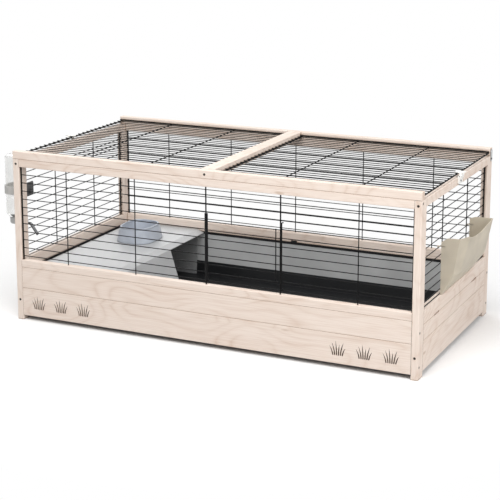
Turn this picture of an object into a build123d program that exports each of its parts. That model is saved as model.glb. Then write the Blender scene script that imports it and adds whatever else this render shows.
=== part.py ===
from build123d import *
import math
import os

# Rodent cage: a wooden frame with wire grilles, a wire lid, a front door and its fittings.
# Millimetres. +X to the right, +Y to the back, +Z up. The origin is on the floor, under the middle.
# In the functions, sx is -1 on the left and 1 on the right, and sy is -1 in front and 1 behind.

# Overall size and frame sections
LENGTH = 1250.0
DEPTH = 645.0
HEIGHT = 510.0
POST_WIDTH = 20.0
POST_DEPTH = 40.0
PANEL_THICKNESS = 20.0
RAIL_HEIGHT = 23.0
BOARD_HEIGHT = 85.0
LEG_HEIGHT = 14.0
EASED_EDGE = 1.2

# Grooves and slots in the boards
GROOVE_WIDTH = 1.8
GROOVE_DEPTH = 1.0
LONG_GROOVE_DROP = 22.0
SHORT_GROOVE_DROP = 40.0
SLOT_LENGTH = 47.0
SLOT_HEIGHT = 6.0
SLOT_OFFSET = 173.5

# Grass tufts sawn through the front lower board
TUFT_OFFSETS = (398.0, 474.0, 550.0)
TUFT_RISE = 23.0
BLADE_HEIGHTS = (27.0, 36.0, 42.0, 33.0, 38.0, 24.0)
BLADE_PITCH = 5.4
BLADE_WIDTH = 3.6
BLADE_LEAN = 0.16
BLADE_BOW = 0.18
BLADE_WAIST = 0.8

# Wire of the grilles
WIRE = 2.5
UPRIGHT_WIRE = 3.0
BORDER_ROD = 4.0
WIRE_SIDES = 8
THIN_SIDES = 6
WELD_GAP = 0.05
GRILLE_RECESS = 7.0
LONG_WIRE_COUNT = 11
FIRST_WIRE_RISE = 10.0
LAST_WIRE_DROP = 25.0
UPRIGHT_SPACING = 225.0
SIDE_UPRIGHT_OFFSET = 112.5
POST_GAP = 0.5
HOLE_CLEARANCE = 0.1
UPRIGHT_SEAT = 8.0
ROD_GROOVE_DEPTH = 3.0

# Door
DOOR_LOW_WIRE = 1
DOOR_HIGH_WIRE = 7
DOOR_ROD = 3.0
DOOR_STIFFENER_INSET = 13.5
DOOR_FREE_GAP = 0.4
DOOR_RING_WALL = 2.0
DOOR_RING_HEIGHT = 3.0
DOOR_RING_GAP = 3.0
DOOR_BEND_REACH = 5.0
PIVOT_CLEARANCE = 0.06

# Lid
BEAM_WIDTH = 40.0
LID_ROD = 4.5
LID_WIRE_COUNT = 24
LID_WIRE_MARGIN = 21.9
LID_SIDE_INSET = 5.5
LID_BORDER_INSET = 4.0
LID_ROD_DROP = 15.0
LID_ROD_SEAT = 5.0
LID_WIRE_OVERHANG = 2.5
LID_CROSS_OFFSETS = (210.0, 435.0)
LID_END_GAP = 0.5
LID_PIN = 6.0
LID_PIN_REACH = 14.0
LID_SWEEP_GAP = 0.3
BRACKET_THICKNESS = 1.5
BRACKET_WIDTH = 16.0
BRACKET_DROP = 17.0

# Catches on the side rails
CATCH_WIDTH = 36.0
CATCH_THICKNESS = 4.0
CATCH_DROP = 19.0
CATCH_CORNER = 3.0
CATCH_EAR = 5.0
CATCH_EAR_RADIUS = 3.6
CATCH_EAR_DROP = 10.0
CATCH_PIN = 3.0
CATCH_PIN_OUT = 5.0
CATCH_PIN_RISE = 4.0
CATCH_SIDE_GAP = 0.4
CATCH_KNUCKLE_GAP = 0.3
CATCH_ARM_WIDTH = 18.0
CATCH_ARM = 3.5
CATCH_ARM_GAP = 0.8
CATCH_LIP = 2.5
CATCH_LIP_GAP = 1.6
CATCH_LIP_DROP = 4.0
CATCH_TAB = 8.0

# Liner of the boards
LINER_THICKNESS = 2.0
LINER_BOTTOM = 48.0
STRIP_TOP = 154.0
STRIP_HEIGHT = 7.0
STRIP_WALL = 1.2
FIT_GAP = 0.3
CLIP_WIDTH = 19.0
CLIP_HEIGHT = 10.0
CLIP_THICKNESS = 1.5

# Litter tray
TRAY_GAP = 0.1
TRAY_WALL = 2.5
TRAY_TOP = 55.0
TRAY_FLOOR = 9.5
TRAY_DRAFT = 4.0
TRAY_CORNER = 18.0
TRAY_RIB_COUNT = 7
TRAY_RIB_WIDTH = 12.0

# Den with its platform
DEN_WALL = 3.0
DEN_TOP = 160.0
DEN_TOP_RIGHT = -340.0
DEN_BEVEL_RUN = 22.0
DEN_BEVEL_DROP = 9.0
DEN_FLARE = 43.0
DEN_TRAY_GAP = 3.0
DEN_CORNER = 30.0
DEN_DRAFT = 8.0
DEN_ENTRANCE_START = 68.5

# Food bowl
BOWL_X = -452.0
BOWL_Y = 115.0
BOWL_LENGTH = 108.0
BOWL_WIDTH = 132.0
BOWL_HEIGHT = 48.0
BOWL_TAPER = 9.0
BOWL_CORNER = 34.0
BOWL_CORNER_FLATS = 3
BOWL_WALL = 3.0
BOWL_RIM = 4.0
BOWL_RIM_HEIGHT = 3.5

# Hay rack
RACK_NEAR = -131.5
RACK_FAR = 132.5
RACK_SEAT_GAP = 0.3
RACK_BACK_GAP = 1.5
RACK_WALL = 2.2
RACK_FOOT = 5.0
RACK_LOW_OUT = 47.0
RACK_LOW_RISE = 58.0
RACK_TOP_OUT = 68.0
RACK_HEIGHT = 160.0
RACK_BACK_DROP = 14.0
RACK_BEVEL_ALONG = 40.0
RACK_BEVEL_IN = 16.0
RACK_DIP = 13.0
RACK_HOOK_WIRE = 5
RACK_HOOK = 3.0
RACK_HOOK_LENGTH = 8.0
RACK_HOOK_ROOT = 12.0

# Water bottle
BOTTLE_OUT = 33.0
BOTTLE_RADIUS = 30.0
BOTTLE_DROP = 24.0
BOTTLE_HEIGHT = 186.0
BOTTLE_SIDES = 24
BOTTLE_WALL = 1.5
BOTTLE_NECK_RADIUS = 17.0
BOTTLE_NECK_HEIGHT = 10.0
BOTTLE_SHOULDER = 14.0
BOTTLE_CROWN = 5.0
CAP_WALL = 2.5
CAP_DROP = 22.0
CAP_LEDGE = 1.0
CAP_OUTLET = 12.5
CAP_OUTLET_REACH = 6.0
NOZZLE = 9.0
NOZZLE_DROP = 15.4
NOZZLE_SOCKET = 11.0
NOZZLE_TIP_IN = 20.0
NOZZLE_FALL = 36.6
NOZZLE_MITRE = 9.0
NOZZLE_SIDES = 12
NOZZLE_MOUTH = 5.0
NOZZLE_MOUTH_DEPTH = 3.0
HOLDER_BOLT_RISE = 7.75
HOLDER_HEIGHT = 25.0
HOLDER_WALL = 3.0
PLATE_WIDTH = 38.0
PLATE_HEIGHT = 39.0
PLATE_THICKNESS = 3.0
PLATE_CORNER = 3.0
PLATE_RISE = 5.0
PLATE_POST_GAP = 1.0
HOLDER_BOLT = 5.0
KNOB = 14.0
KNOB_HEIGHT = 7.0
KNOB_SIDES = 12

# Places worked out from the sizes above
HALF_L = LENGTH / 2
HALF_D = DEPTH / 2
INNER_X = HALF_L - POST_WIDTH
INNER_Y = HALF_D - PANEL_THICKNESS
END_INNER_X = HALF_L - PANEL_THICKNESS
POST_Y = HALF_D - POST_DEPTH
FIXED_TOP = HEIGHT - RAIL_HEIGHT
RAIL_UNDERSIDE = FIXED_TOP - RAIL_HEIGHT
BOARD_JOINT = LEG_HEIGHT + BOARD_HEIGHT
BOARD_TOP = BOARD_JOINT + BOARD_HEIGHT
FIRST_WIRE = BOARD_TOP + FIRST_WIRE_RISE
WIRE_PITCH = (RAIL_UNDERSIDE - LAST_WIRE_DROP - FIRST_WIRE) / (LONG_WIRE_COUNT - 1)
LONG_WELD = HALF_D - GRILLE_RECESS - BORDER_ROD
END_WELD = HALF_L - GRILLE_RECESS - BORDER_ROD
LID_ROD_Z = HEIGHT - LID_ROD_DROP
LID_WELD = LID_ROD_Z + LID_ROD / 2
LID_SIDE_X = HALF_L - LID_SIDE_INSET
LID_WIRE_PITCH = 2 * (INNER_Y - LID_WIRE_MARGIN) / (LID_WIRE_COUNT - 1)
PIVOT_Y = HALF_D - PANEL_THICKNESS / 2
PIVOT_Z = FIXED_TOP + RAIL_HEIGHT / 2
LINER_X = END_INNER_X - LINER_THICKNESS
LINER_Y = INNER_Y - LINER_THICKNESS
TRAY_X = LINER_X - TRAY_GAP
TRAY_Y = LINER_Y - TRAY_GAP
TRAY_INNER_X = TRAY_X - TRAY_DRAFT - TRAY_WALL
TRAY_INNER_Y = TRAY_Y - TRAY_DRAFT - TRAY_WALL
TRAY_SURFACE = TRAY_FLOOR + TRAY_WALL
CATCH_BOTTOM = FIXED_TOP - CATCH_DROP
CATCH_EAR_FOOT = FIXED_TOP - CATCH_EAR_DROP
CATCH_PIN_X = HALF_L + CATCH_PIN_OUT
CATCH_PIN_Z = FIXED_TOP + CATCH_PIN_RISE
RACK_BACK = HALF_L - GRILLE_RECESS + RACK_BACK_GAP
RACK_BASE = BOARD_TOP + RACK_SEAT_GAP
BOTTLE_X = -(HALF_L + BOTTLE_OUT)
BOTTLE_Y = -(POST_Y - PLATE_POST_GAP - PLATE_WIDTH / 2)
BOTTLE_TOP = HEIGHT - BOTTLE_DROP
BOTTLE_BOTTOM = BOTTLE_TOP - BOTTLE_HEIGHT
NECK_BOTTOM = BOTTLE_BOTTOM - BOTTLE_NECK_HEIGHT
CAP_RADIUS = BOTTLE_NECK_RADIUS + HOLE_CLEARANCE + CAP_WALL
NOZZLE_START_Z = BOTTLE_BOTTOM - NOZZLE_DROP
BOLT_Z = FIRST_WIRE + (DOOR_HIGH_WIRE + 0.5) * WIRE_PITCH
HOLDER_BOTTOM = BOLT_Z - HOLDER_BOLT_RISE


def block(x0, x1, y0, y1, z0, z1):
    """A plain block between two corners."""
    centre = Pos((x0 + x1) / 2, (y0 + y1) / 2, (z0 + z1) / 2)
    return centre * Box(abs(x1 - x0), abs(y1 - y0), abs(z1 - z0))


def timber(x0, x1, y0, y1, z0, z1):
    """A planed piece of wood: a block whose long edges are eased."""
    piece = block(x0, x1, y0, y1, z0, z1)
    sizes = (abs(x1 - x0), abs(y1 - y0), abs(z1 - z0))
    grain = (Axis.X, Axis.Y, Axis.Z)[sizes.index(max(sizes))]
    return chamfer(piece.edges().filter_by(grain), EASED_EDGE)


def direction(start, end):
    """The unit vector from one point to another."""
    return (Vector(*end) - Vector(*start)).normalized()


def distance(start, end):
    """The length between two points."""
    return (Vector(*end) - Vector(*start)).length


def rod(start, end, diameter):
    """A round rod between two points."""
    plane = Plane(origin=start, z_dir=direction(start, end))
    return extrude(plane * Circle(diameter / 2), amount=distance(start, end))


def wire(start, end, diameter, sides=WIRE_SIDES):
    """A drawn wire between two points, with a many-sided section."""
    plane = Plane(origin=start, z_dir=direction(start, end))
    return extrude(plane * RegularPolygon(diameter / 2, sides), amount=distance(start, end))


def wire_hole(start, end, diameter):
    """A many-sided hole that clears a wire or rod between two points."""
    across_flats = diameter + 2 * HOLE_CLEARANCE
    return wire(start, end, across_flats / math.cos(math.pi / WIRE_SIDES))


def flat_sided(lower, upper):
    """A solid between two outlines whose edges are parallel, so that each of its sides is flat."""
    turns = zip(lower, upper, upper[1:] + upper[:1], lower[1:] + lower[:1])
    faces = [Face(Wire.make_polygon(corners)) for corners in turns]
    faces += [Face(Wire.make_polygon(lower)), Face(Wire.make_polygon(upper))]
    return Solid(Shell(faces))


def on_side(piece, sx):
    """A piece made for the right end, or its mirror image for the left one."""
    return piece if sx > 0 else mirror(piece, Plane.YZ)


def wire_height(index):
    """The height of a long grille wire, counted from the lowest."""
    return FIRST_WIRE + index * WIRE_PITCH


# Wooden frame


def post(sx, sy):
    """A corner post."""
    return timber(sx * INNER_X, sx * HALF_L, sy * POST_Y, sy * HALF_D, 0, FIXED_TOP)


def groove_cutter(length):
    """The cutter of a V groove along X, centred on the origin."""
    half, depth = GROOVE_WIDTH / 2, GROOVE_DEPTH
    section = Polyline((-depth, 0), (0, half), (depth, 0), (0, -half), close=True)
    return extrude(Plane.YZ * make_face(section), amount=length / 2, both=True)


def upright_positions():
    """Where the uprights of the front and back grilles stand."""
    return [n * UPRIGHT_SPACING for n in (-2, -1, 0, 1, 2)]


def upright_diameter(x, sy):
    """The two front uprights beside the door are rods, the others are thinner."""
    beside_door = sy < 0 and x in (0, UPRIGHT_SPACING)
    return BORDER_ROD if beside_door else UPRIGHT_WIRE


def upright_holes(sy, z_start, z_end):
    """Blind holes for the ends of a long grille's uprights."""
    holes = []
    for x in upright_positions():
        diameter = upright_diameter(x, sy)
        y = sy * (LONG_WELD + diameter / 2)
        holes.append(wire_hole((x, y, z_start), (x, y, z_end), diameter))
    return holes


def long_board(sy, bottom):
    """A board between two posts on the front or back."""
    return timber(-INNER_X, INNER_X, sy * INNER_Y, sy * HALF_D, bottom, bottom + BOARD_HEIGHT)


def long_upper_board(sy):
    """An upper board of the front or back, grooved, with the uprights' holes on top."""
    body = long_board(sy, BOARD_JOINT)
    cutter = groove_cutter(LENGTH)
    for y in (sy * INNER_Y, sy * HALF_D):
        body -= Pos(0, y, BOARD_TOP - LONG_GROOVE_DROP) * cutter
    for hole in upright_holes(sy, BOARD_TOP - UPRIGHT_SEAT - HOLE_CLEARANCE, BOARD_TOP + 1):
        body -= hole
    return body


def grass_blade(place, height):
    """One curved blade of a tuft: its outline stands on the line z = 0 and leans outward."""
    half = BLADE_WIDTH / 2
    foot = place * BLADE_PITCH
    lean = place * height * BLADE_LEAN
    waist = foot + lean / 2 - lean * BLADE_BOW
    tip = (foot + lean, height)
    left = ThreePointArc((foot - half, 0), (waist - half * BLADE_WAIST, height / 2), tip)
    right = ThreePointArc(tip, (waist + half * BLADE_WAIST, height / 2), (foot + half, 0))
    return make_face([left, right, Line((foot + half, 0), (foot - half, 0))])


def grass_tuft():
    """The cutters of a tuft's blades, fanned out from one foot."""
    middle = (len(BLADE_HEIGHTS) - 1) / 2
    faces = [grass_blade(n - middle, height) for n, height in enumerate(BLADE_HEIGHTS)]
    return [extrude(Plane.XZ * face, amount=PANEL_THICKNESS + 2) for face in faces]


def front_lower_board():
    """The lower front board with its tufts sawn through."""
    body = long_board(-1, LEG_HEIGHT)
    for offset in TUFT_OFFSETS:
        for sx in (-1, 1):
            for blade in grass_tuft():
                body -= Pos(sx * offset, -INNER_Y + 1, LEG_HEIGHT + TUFT_RISE) * blade
    return body


def end_upper_board(sx):
    """An upper board of an end: a groove with two slots on it, and the rod's groove on top."""
    body = timber(END_INNER_X, HALF_L, -POST_Y, POST_Y, BOARD_JOINT, BOARD_TOP)
    z = BOARD_TOP - SHORT_GROOVE_DROP
    body -= Pos(HALF_L, 0, z) * Rot(0, 0, 90) * groove_cutter(DEPTH)
    slot = extrude(Plane.YZ * SlotOverall(SLOT_LENGTH, SLOT_HEIGHT), amount=PANEL_THICKNESS + 2)
    for y in (-SLOT_OFFSET, SLOT_OFFSET):
        body -= Pos(END_INNER_X - 1, y, z) * slot
    rod_x = END_WELD + BORDER_ROD / 2
    half = BORDER_ROD / 2 + HOLE_CLEARANCE
    body -= block(rod_x - half, rod_x + half, -DEPTH, DEPTH, BOARD_TOP - ROD_GROOVE_DEPTH, HEIGHT)
    return on_side(body, sx)


def end_lower_board(sx):
    """A lower board of an end."""
    return timber(sx * END_INNER_X, sx * HALF_L, -POST_Y, POST_Y, LEG_HEIGHT, BOARD_JOINT)


def long_top_rail(sy):
    """A fixed top rail of the front or back, with the uprights' holes below."""
    body = timber(-INNER_X, INNER_X, sy * INNER_Y, sy * HALF_D, RAIL_UNDERSIDE, FIXED_TOP)
    for hole in upright_holes(sy, RAIL_UNDERSIDE - 1, RAIL_UNDERSIDE + UPRIGHT_SEAT + HOLE_CLEARANCE):
        body -= hole
    return body


def end_top_rail(sx):
    """A fixed top rail of an end."""
    return timber(sx * END_INNER_X, sx * HALF_L, -POST_Y, POST_Y, RAIL_UNDERSIDE, FIXED_TOP)


# Grilles


def long_wires(sy, x_start, x_end, rows):
    """Long wires of the front or back grille between two places."""
    y = sy * (LONG_WELD - WELD_GAP - WIRE / 2)
    return [wire((x_start, y, wire_height(n)), (x_end, y, wire_height(n)), WIRE) for n in rows]


def long_upright(x, sy):
    """An upright with its ends seated in the board and the top rail."""
    diameter = upright_diameter(x, sy)
    y = sy * (LONG_WELD + diameter / 2)
    start = (x, y, BOARD_TOP - UPRIGHT_SEAT)
    end = (x, y, RAIL_UNDERSIDE + UPRIGHT_SEAT)
    return rod(start, end, diameter) if diameter == BORDER_ROD else wire(start, end, diameter)


def long_border_rod(sx, sy):
    """The border rod that stands against a post."""
    x = sx * (INNER_X - POST_GAP - BORDER_ROD / 2)
    y = sy * (LONG_WELD + BORDER_ROD / 2)
    return wire((x, y, BOARD_TOP), (x, y, RAIL_UNDERSIDE), BORDER_ROD)


def front_grille(sx):
    """The front grille from a post to the upright on its side of the door."""
    end = sx * (INNER_X - POST_GAP)
    start = 0 if sx < 0 else UPRIGHT_SPACING
    pieces = long_wires(-1, start, end, range(LONG_WIRE_COUNT))
    pieces += [long_upright(x, -1) for x in upright_positions() if start <= x * sx or x == start]
    pieces.append(long_border_rod(sx, -1))
    return Compound(children=pieces)


def door_span_wires(rows):
    """Fixed wires that cross the door's opening above or below it."""
    return Compound(children=long_wires(-1, WELD_GAP, UPRIGHT_SPACING - WELD_GAP, rows))


def back_grille():
    """The back grille, in one panel."""
    reach = INNER_X - POST_GAP
    pieces = long_wires(1, -reach, reach, range(LONG_WIRE_COUNT))
    pieces += [long_upright(x, 1) for x in upright_positions()]
    pieces += [long_border_rod(sx, 1) for sx in (-1, 1)]
    return Compound(children=pieces)


def end_grille(sx):
    """An end grille, framed by rods, the lowest of them in the board's groove."""
    wire_x = END_WELD - WELD_GAP - WIRE / 2
    rod_x = END_WELD + BORDER_ROD / 2
    upright_x = END_WELD + UPRIGHT_WIRE / 2
    reach = POST_Y - POST_GAP
    base_z = BOARD_TOP - ROD_GROOVE_DEPTH + WELD_GAP + BORDER_ROD / 2
    foot_z = base_z + BORDER_ROD / 2 + WELD_GAP
    rows = [wire_height(n) for n in range(LONG_WIRE_COUNT)]
    pieces = [wire((wire_x, -reach, z), (wire_x, reach, z), WIRE) for z in rows]
    pieces.append(wire((rod_x, -reach, base_z), (rod_x, reach, base_z), BORDER_ROD))
    for y in (-SIDE_UPRIGHT_OFFSET, SIDE_UPRIGHT_OFFSET):
        pieces.append(wire((upright_x, y, foot_z), (upright_x, y, RAIL_UNDERSIDE), UPRIGHT_WIRE))
    for y in (BORDER_ROD / 2 - reach, reach - BORDER_ROD / 2):
        pieces.append(wire((rod_x, y, foot_z), (rod_x, y, RAIL_UNDERSIDE), BORDER_ROD))
    return on_side(Compound(children=pieces), sx)


def door_hinge_rod(rod_y, low_z, high_z):
    """The door's hinge rod, with two rings round the grille's upright at x = 0."""
    ring_inner = BORDER_ROD / 2 + PIVOT_CLEARANCE
    ring_outer = ring_inner + DOOR_RING_WALL
    half = DOOR_RING_HEIGHT / 2
    upright_y = -(LONG_WELD + BORDER_ROD / 2)
    hinge = wire((ring_outer, rod_y, low_z - half), (ring_outer, rod_y, high_z + half), DOOR_ROD)
    for z in (low_z, high_z):
        hinge += wire((0, upright_y, z - half), (0, upright_y, z + half), 2 * ring_outer)
    return hinge - rod((0, upright_y, 0), (0, upright_y, HEIGHT), 2 * ring_inner)


def door_free_rod(free_x, rod_y, low_z, high_z):
    """The rod of the door's free side, bent outward at both ends."""
    foot, head = (free_x + DOOR_BEND_REACH, rod_y, low_z), (free_x + DOOR_BEND_REACH, rod_y, high_z)
    path = Polyline(foot, (free_x, rod_y, low_z), (free_x, rod_y, high_z), head)
    section = Plane(origin=foot, z_dir=(-1, 0, 0)) * RegularPolygon(DOOR_ROD / 2, WIRE_SIDES)
    return sweep(section, path=path, transition=Transition.RIGHT)


def front_door():
    """The wire door between the uprights at x = 0 and x = UPRIGHT_SPACING."""
    face_y = -(LONG_WELD + BORDER_ROD + WELD_GAP)
    rod_y = face_y + WELD_GAP + DOOR_ROD / 2
    wire_y = face_y - WIRE / 2
    margin = WIRE / 2 + DOOR_RING_GAP
    low_z = wire_height(DOOR_LOW_WIRE - 1) + margin
    high_z = wire_height(DOOR_HIGH_WIRE + 1) - margin
    free_x = UPRIGHT_SPACING + BORDER_ROD / 2 + DOOR_FREE_GAP + DOOR_ROD / 2
    pieces = [door_hinge_rod(rod_y, low_z, high_z), door_free_rod(free_x, rod_y, low_z, high_z)]
    wire_start = BORDER_ROD / 2 + DOOR_RING_WALL / 2
    for n in range(DOOR_LOW_WIRE, DOOR_HIGH_WIRE + 1):
        z = wire_height(n)
        pieces.append(wire((wire_start, wire_y, z), (free_x + DOOR_ROD / 2, wire_y, z), WIRE))
    x = UPRIGHT_SPACING - DOOR_STIFFENER_INSET
    bottom = wire_height(DOOR_LOW_WIRE) - WIRE / 2
    top = wire_height(DOOR_HIGH_WIRE) + WIRE / 2
    pieces.append(wire((x, rod_y, bottom), (x, rod_y, top), DOOR_ROD))
    return Compound(children=pieces)


# Lid


def lid_rods(sx):
    """Place and diameter of one lid panel's rods that run from rail to rail."""
    rods = [(sx * (BEAM_WIDTH / 2 + LID_BORDER_INSET), LID_ROD)]
    rods += [(sx * x, UPRIGHT_WIRE) for x in LID_CROSS_OFFSETS]
    rods.append((sx * LID_SIDE_X, LID_ROD))
    return rods


def lid_rail(sy, half_length):
    """A long rail of the lid with the holes of its rods."""
    body = timber(-half_length, half_length, sy * INNER_Y, sy * HALF_D, FIXED_TOP, HEIGHT)
    inner = sy * (INNER_Y - 1)
    seat = sy * (INNER_Y + LID_ROD_SEAT + HOLE_CLEARANCE)
    for x, diameter in lid_rods(-1) + lid_rods(1):
        z = LID_WELD - diameter / 2
        body -= wire_hole((x, inner, z), (x, seat, z), diameter)
    return body


def lid_back_rail():
    """The lid's back rail: it turns about its own middle, so its lower back edge is rounded."""
    body = lid_rail(1, HALF_L - LID_END_GAP)
    corner = block(-HALF_L, HALF_L, PIVOT_Y, HALF_D + 1, FIXED_TOP - 1, PIVOT_Z)
    left, right = (-HALF_L, PIVOT_Y, PIVOT_Z), (HALF_L, PIVOT_Y, PIVOT_Z)
    body -= corner - rod(left, right, RAIL_HEIGHT - 2 * LID_SWEEP_GAP)
    for sx in (-1, 1):
        end = (sx * HALF_L, PIVOT_Y, PIVOT_Z)
        bottom = (sx * (HALF_L - LID_PIN_REACH - 1), PIVOT_Y, PIVOT_Z)
        body -= rod(bottom, end, LID_PIN + 2 * PIVOT_CLEARANCE)
    return body


def lid_centre_beam():
    """The beam between the lid's rails."""
    half = BEAM_WIDTH / 2
    return timber(-half, half, -INNER_Y, INNER_Y, FIXED_TOP, HEIGHT)


def lid_grille(sx):
    """One wire panel of the lid: rods seated in the rails, and the long wires on top of them."""
    pieces = []
    reach = INNER_Y + LID_ROD_SEAT
    for x, diameter in lid_rods(sx):
        z = LID_WELD - diameter / 2
        pieces.append(wire((x, -reach, z), (x, reach, z), diameter))
    start_x = sx * (BEAM_WIDTH / 2 + FIT_GAP)
    end_x = sx * (LID_SIDE_X + LID_WIRE_OVERHANG)
    wire_z = LID_WELD + WELD_GAP + WIRE / 2
    for n in range(LID_WIRE_COUNT):
        y = (n - (LID_WIRE_COUNT - 1) / 2) * LID_WIRE_PITCH
        pieces.append(wire((start_x, y, wire_z), (end_x, y, wire_z), WIRE, THIN_SIDES))
    border_z = LID_WELD + WELD_GAP + LID_ROD / 2
    for sy in (-1, 1):
        y = sy * (INNER_Y - LID_BORDER_INSET)
        pieces.append(wire((start_x, y, border_z), (end_x, y, border_z), LID_ROD))
    return Compound(children=pieces)


def hinge_bracket(sx):
    """A steel bracket on a back post, with the pin that the lid turns on."""
    half = BRACKET_WIDTH / 2
    bottom = FIXED_TOP - BRACKET_DROP
    sides = Polyline(
        (PIVOT_Y - half, PIVOT_Z),
        (PIVOT_Y - half, bottom + half / 2),
        (PIVOT_Y - half / 2, bottom),
        (PIVOT_Y + half / 2, bottom),
        (PIVOT_Y + half, bottom + half / 2),
        (PIVOT_Y + half, PIVOT_Z),
    )
    eye = ThreePointArc(sides @ 1, (PIVOT_Y, PIVOT_Z + half), sides @ 0)
    strap = Pos(HALF_L, 0, 0) * extrude(Plane.YZ * make_face([sides, eye]), amount=BRACKET_THICKNESS)
    pin = rod((HALF_L - LID_PIN_REACH, PIVOT_Y, PIVOT_Z), (HALF_L, PIVOT_Y, PIVOT_Z), LID_PIN)
    return on_side(strap + pin, sx)


# Catches


def catch_base(sx):
    """The base plate of a catch, with two ears for the hook's pin."""
    half = CATCH_WIDTH / 2
    plate_top = FIXED_TOP - CATCH_KNUCKLE_GAP
    plate = block(HALF_L, HALF_L + CATCH_THICKNESS, -half, half, CATCH_BOTTOM, plate_top)
    body = chamfer(plate.edges().filter_by(Axis.X).sort_by(Axis.Z)[:2], CATCH_CORNER)
    front = CATCH_PIN_X + CATCH_EAR_RADIUS
    sides = Polyline(
        (front, CATCH_PIN_Z),
        (HALF_L + CATCH_THICKNESS, CATCH_EAR_FOOT),
        (HALF_L, CATCH_EAR_FOOT),
        (HALF_L, CATCH_PIN_Z),
        (CATCH_PIN_X - CATCH_EAR_RADIUS, CATCH_PIN_Z),
    )
    crown = ThreePointArc(sides @ 1, (CATCH_PIN_X, CATCH_PIN_Z + CATCH_EAR_RADIUS), sides @ 0)
    ear = extrude(Plane.XZ * make_face([sides, crown]), amount=CATCH_EAR)
    body += Pos(0, half, 0) * ear
    body += Pos(0, CATCH_EAR - half, 0) * ear
    near, far = (CATCH_PIN_X, -half - 1, CATCH_PIN_Z), (CATCH_PIN_X, half + 1, CATCH_PIN_Z)
    return on_side(body - rod(near, far, CATCH_PIN), sx)


def catch_pins():
    """The pins that the catches' hooks turn on, pressed into the ears."""
    half, z = CATCH_WIDTH / 2, CATCH_PIN_Z
    places = (-CATCH_PIN_X, CATCH_PIN_X)
    return Compound(children=[rod((x, -half, z), (x, half, z), CATCH_PIN) for x in places])


def catch_hook(sx):
    """The hook over the lid's side rod, with the tab that a thumb pushes up."""
    knuckle_half = CATCH_WIDTH / 2 - CATCH_EAR - CATCH_SIDE_GAP
    under = LID_WELD + CATCH_ARM_GAP
    top = under + CATCH_ARM
    lip_outer = LID_SIDE_X - LID_ROD / 2 - CATCH_LIP_GAP
    lip_inner = lip_outer - CATCH_LIP
    radius = CATCH_EAR_RADIUS - CATCH_KNUCKLE_GAP
    side_view = Polyline(
        (lip_inner, top),
        (lip_inner, under - CATCH_LIP_DROP + CATCH_LIP / 2),
        (lip_outer, under - CATCH_LIP_DROP),
        (lip_outer, under),
        (CATCH_PIN_X - radius, under),
        (CATCH_PIN_X - radius, CATCH_PIN_Z),
        (CATCH_PIN_X + radius, CATCH_PIN_Z),
        (CATCH_PIN_X + radius, top - CATCH_ARM),
        (CATCH_PIN_X + radius + CATCH_TAB, top - CATCH_ARM / 2),
        (CATCH_PIN_X + radius + CATCH_TAB, top + CATCH_ARM / 4),
        (CATCH_PIN_X, top),
        close=True,
    )
    arm = extrude(Plane.XZ * make_face(side_view), amount=CATCH_ARM_WIDTH / 2, both=True)
    near, far = (CATCH_PIN_X, -knuckle_half, CATCH_PIN_Z), (CATCH_PIN_X, knuckle_half, CATCH_PIN_Z)
    hook = arm + wire(near, far, 2 * radius) - rod(near, far, CATCH_PIN + 2 * PIVOT_CLEARANCE)
    return on_side(hook, sx)


# Liner and litter tray


def long_liner(sy):
    """A liner panel against the front or back boards."""
    reach = END_INNER_X - FIT_GAP
    return block(-reach, reach, sy * LINER_Y, sy * INNER_Y, LINER_BOTTOM, STRIP_TOP - STRIP_WALL)


def end_liner_reach():
    """Half the length of an end's liner panel and strip, between the long strips."""
    return LINER_Y - STRIP_WALL - 2 * FIT_GAP


def end_liner(sx):
    """A liner panel against the boards of an end, between the long panels."""
    y = end_liner_reach()
    return block(sx * LINER_X, sx * END_INNER_X, -y, y, LINER_BOTTOM, STRIP_TOP - STRIP_WALL)


def edge_strip(half_length, board_face, liner_face):
    """A cap strip over a liner's top edge, along X: a flat top with a leg down the liner's face."""
    step = 1 if liner_face > board_face else -1
    leg = liner_face + step * HOLE_CLEARANCE
    outer = leg + step * STRIP_WALL
    cap = block(-half_length, half_length, board_face, outer, STRIP_TOP - STRIP_WALL, STRIP_TOP)
    return cap + block(-half_length, half_length, leg, outer, STRIP_TOP - STRIP_HEIGHT, STRIP_TOP)


def long_strip(sy):
    """The edge strip of a long liner panel."""
    return edge_strip(END_INNER_X - FIT_GAP, sy * INNER_Y, sy * LINER_Y)


def end_strip(sx):
    """The edge strip of an end's liner panel."""
    return Rot(0, 0, -90) * edge_strip(end_liner_reach(), sx * END_INNER_X, sx * LINER_X)


def liner_clips():
    """The clips that lie over the long strips, in the middle of the front and back boards."""
    half = CLIP_WIDTH / 2
    leg = LINER_Y - HOLE_CLEARANCE - STRIP_WALL
    top = STRIP_TOP + CLIP_HEIGHT / 2
    clips = []
    for sy in (-1, 1):
        tip = leg - CLIP_THICKNESS
        foot = block(-half, half, sy * INNER_Y, sy * tip, STRIP_TOP, STRIP_TOP + CLIP_THICKNESS)
        tongue = block(-half, half, sy * leg, sy * tip, top - CLIP_HEIGHT, STRIP_TOP)
        back = block(-half, half, sy * INNER_Y, sy * (INNER_Y - CLIP_THICKNESS), STRIP_TOP, top)
        clips.append(foot + tongue + back)
    return Compound(children=clips)


def rounded_face(half_x, half_y, corner, z):
    """A rounded rectangle lying at a height."""
    return Pos(0, 0, z) * RectangleRounded(2 * half_x, 2 * half_y, corner)


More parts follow.
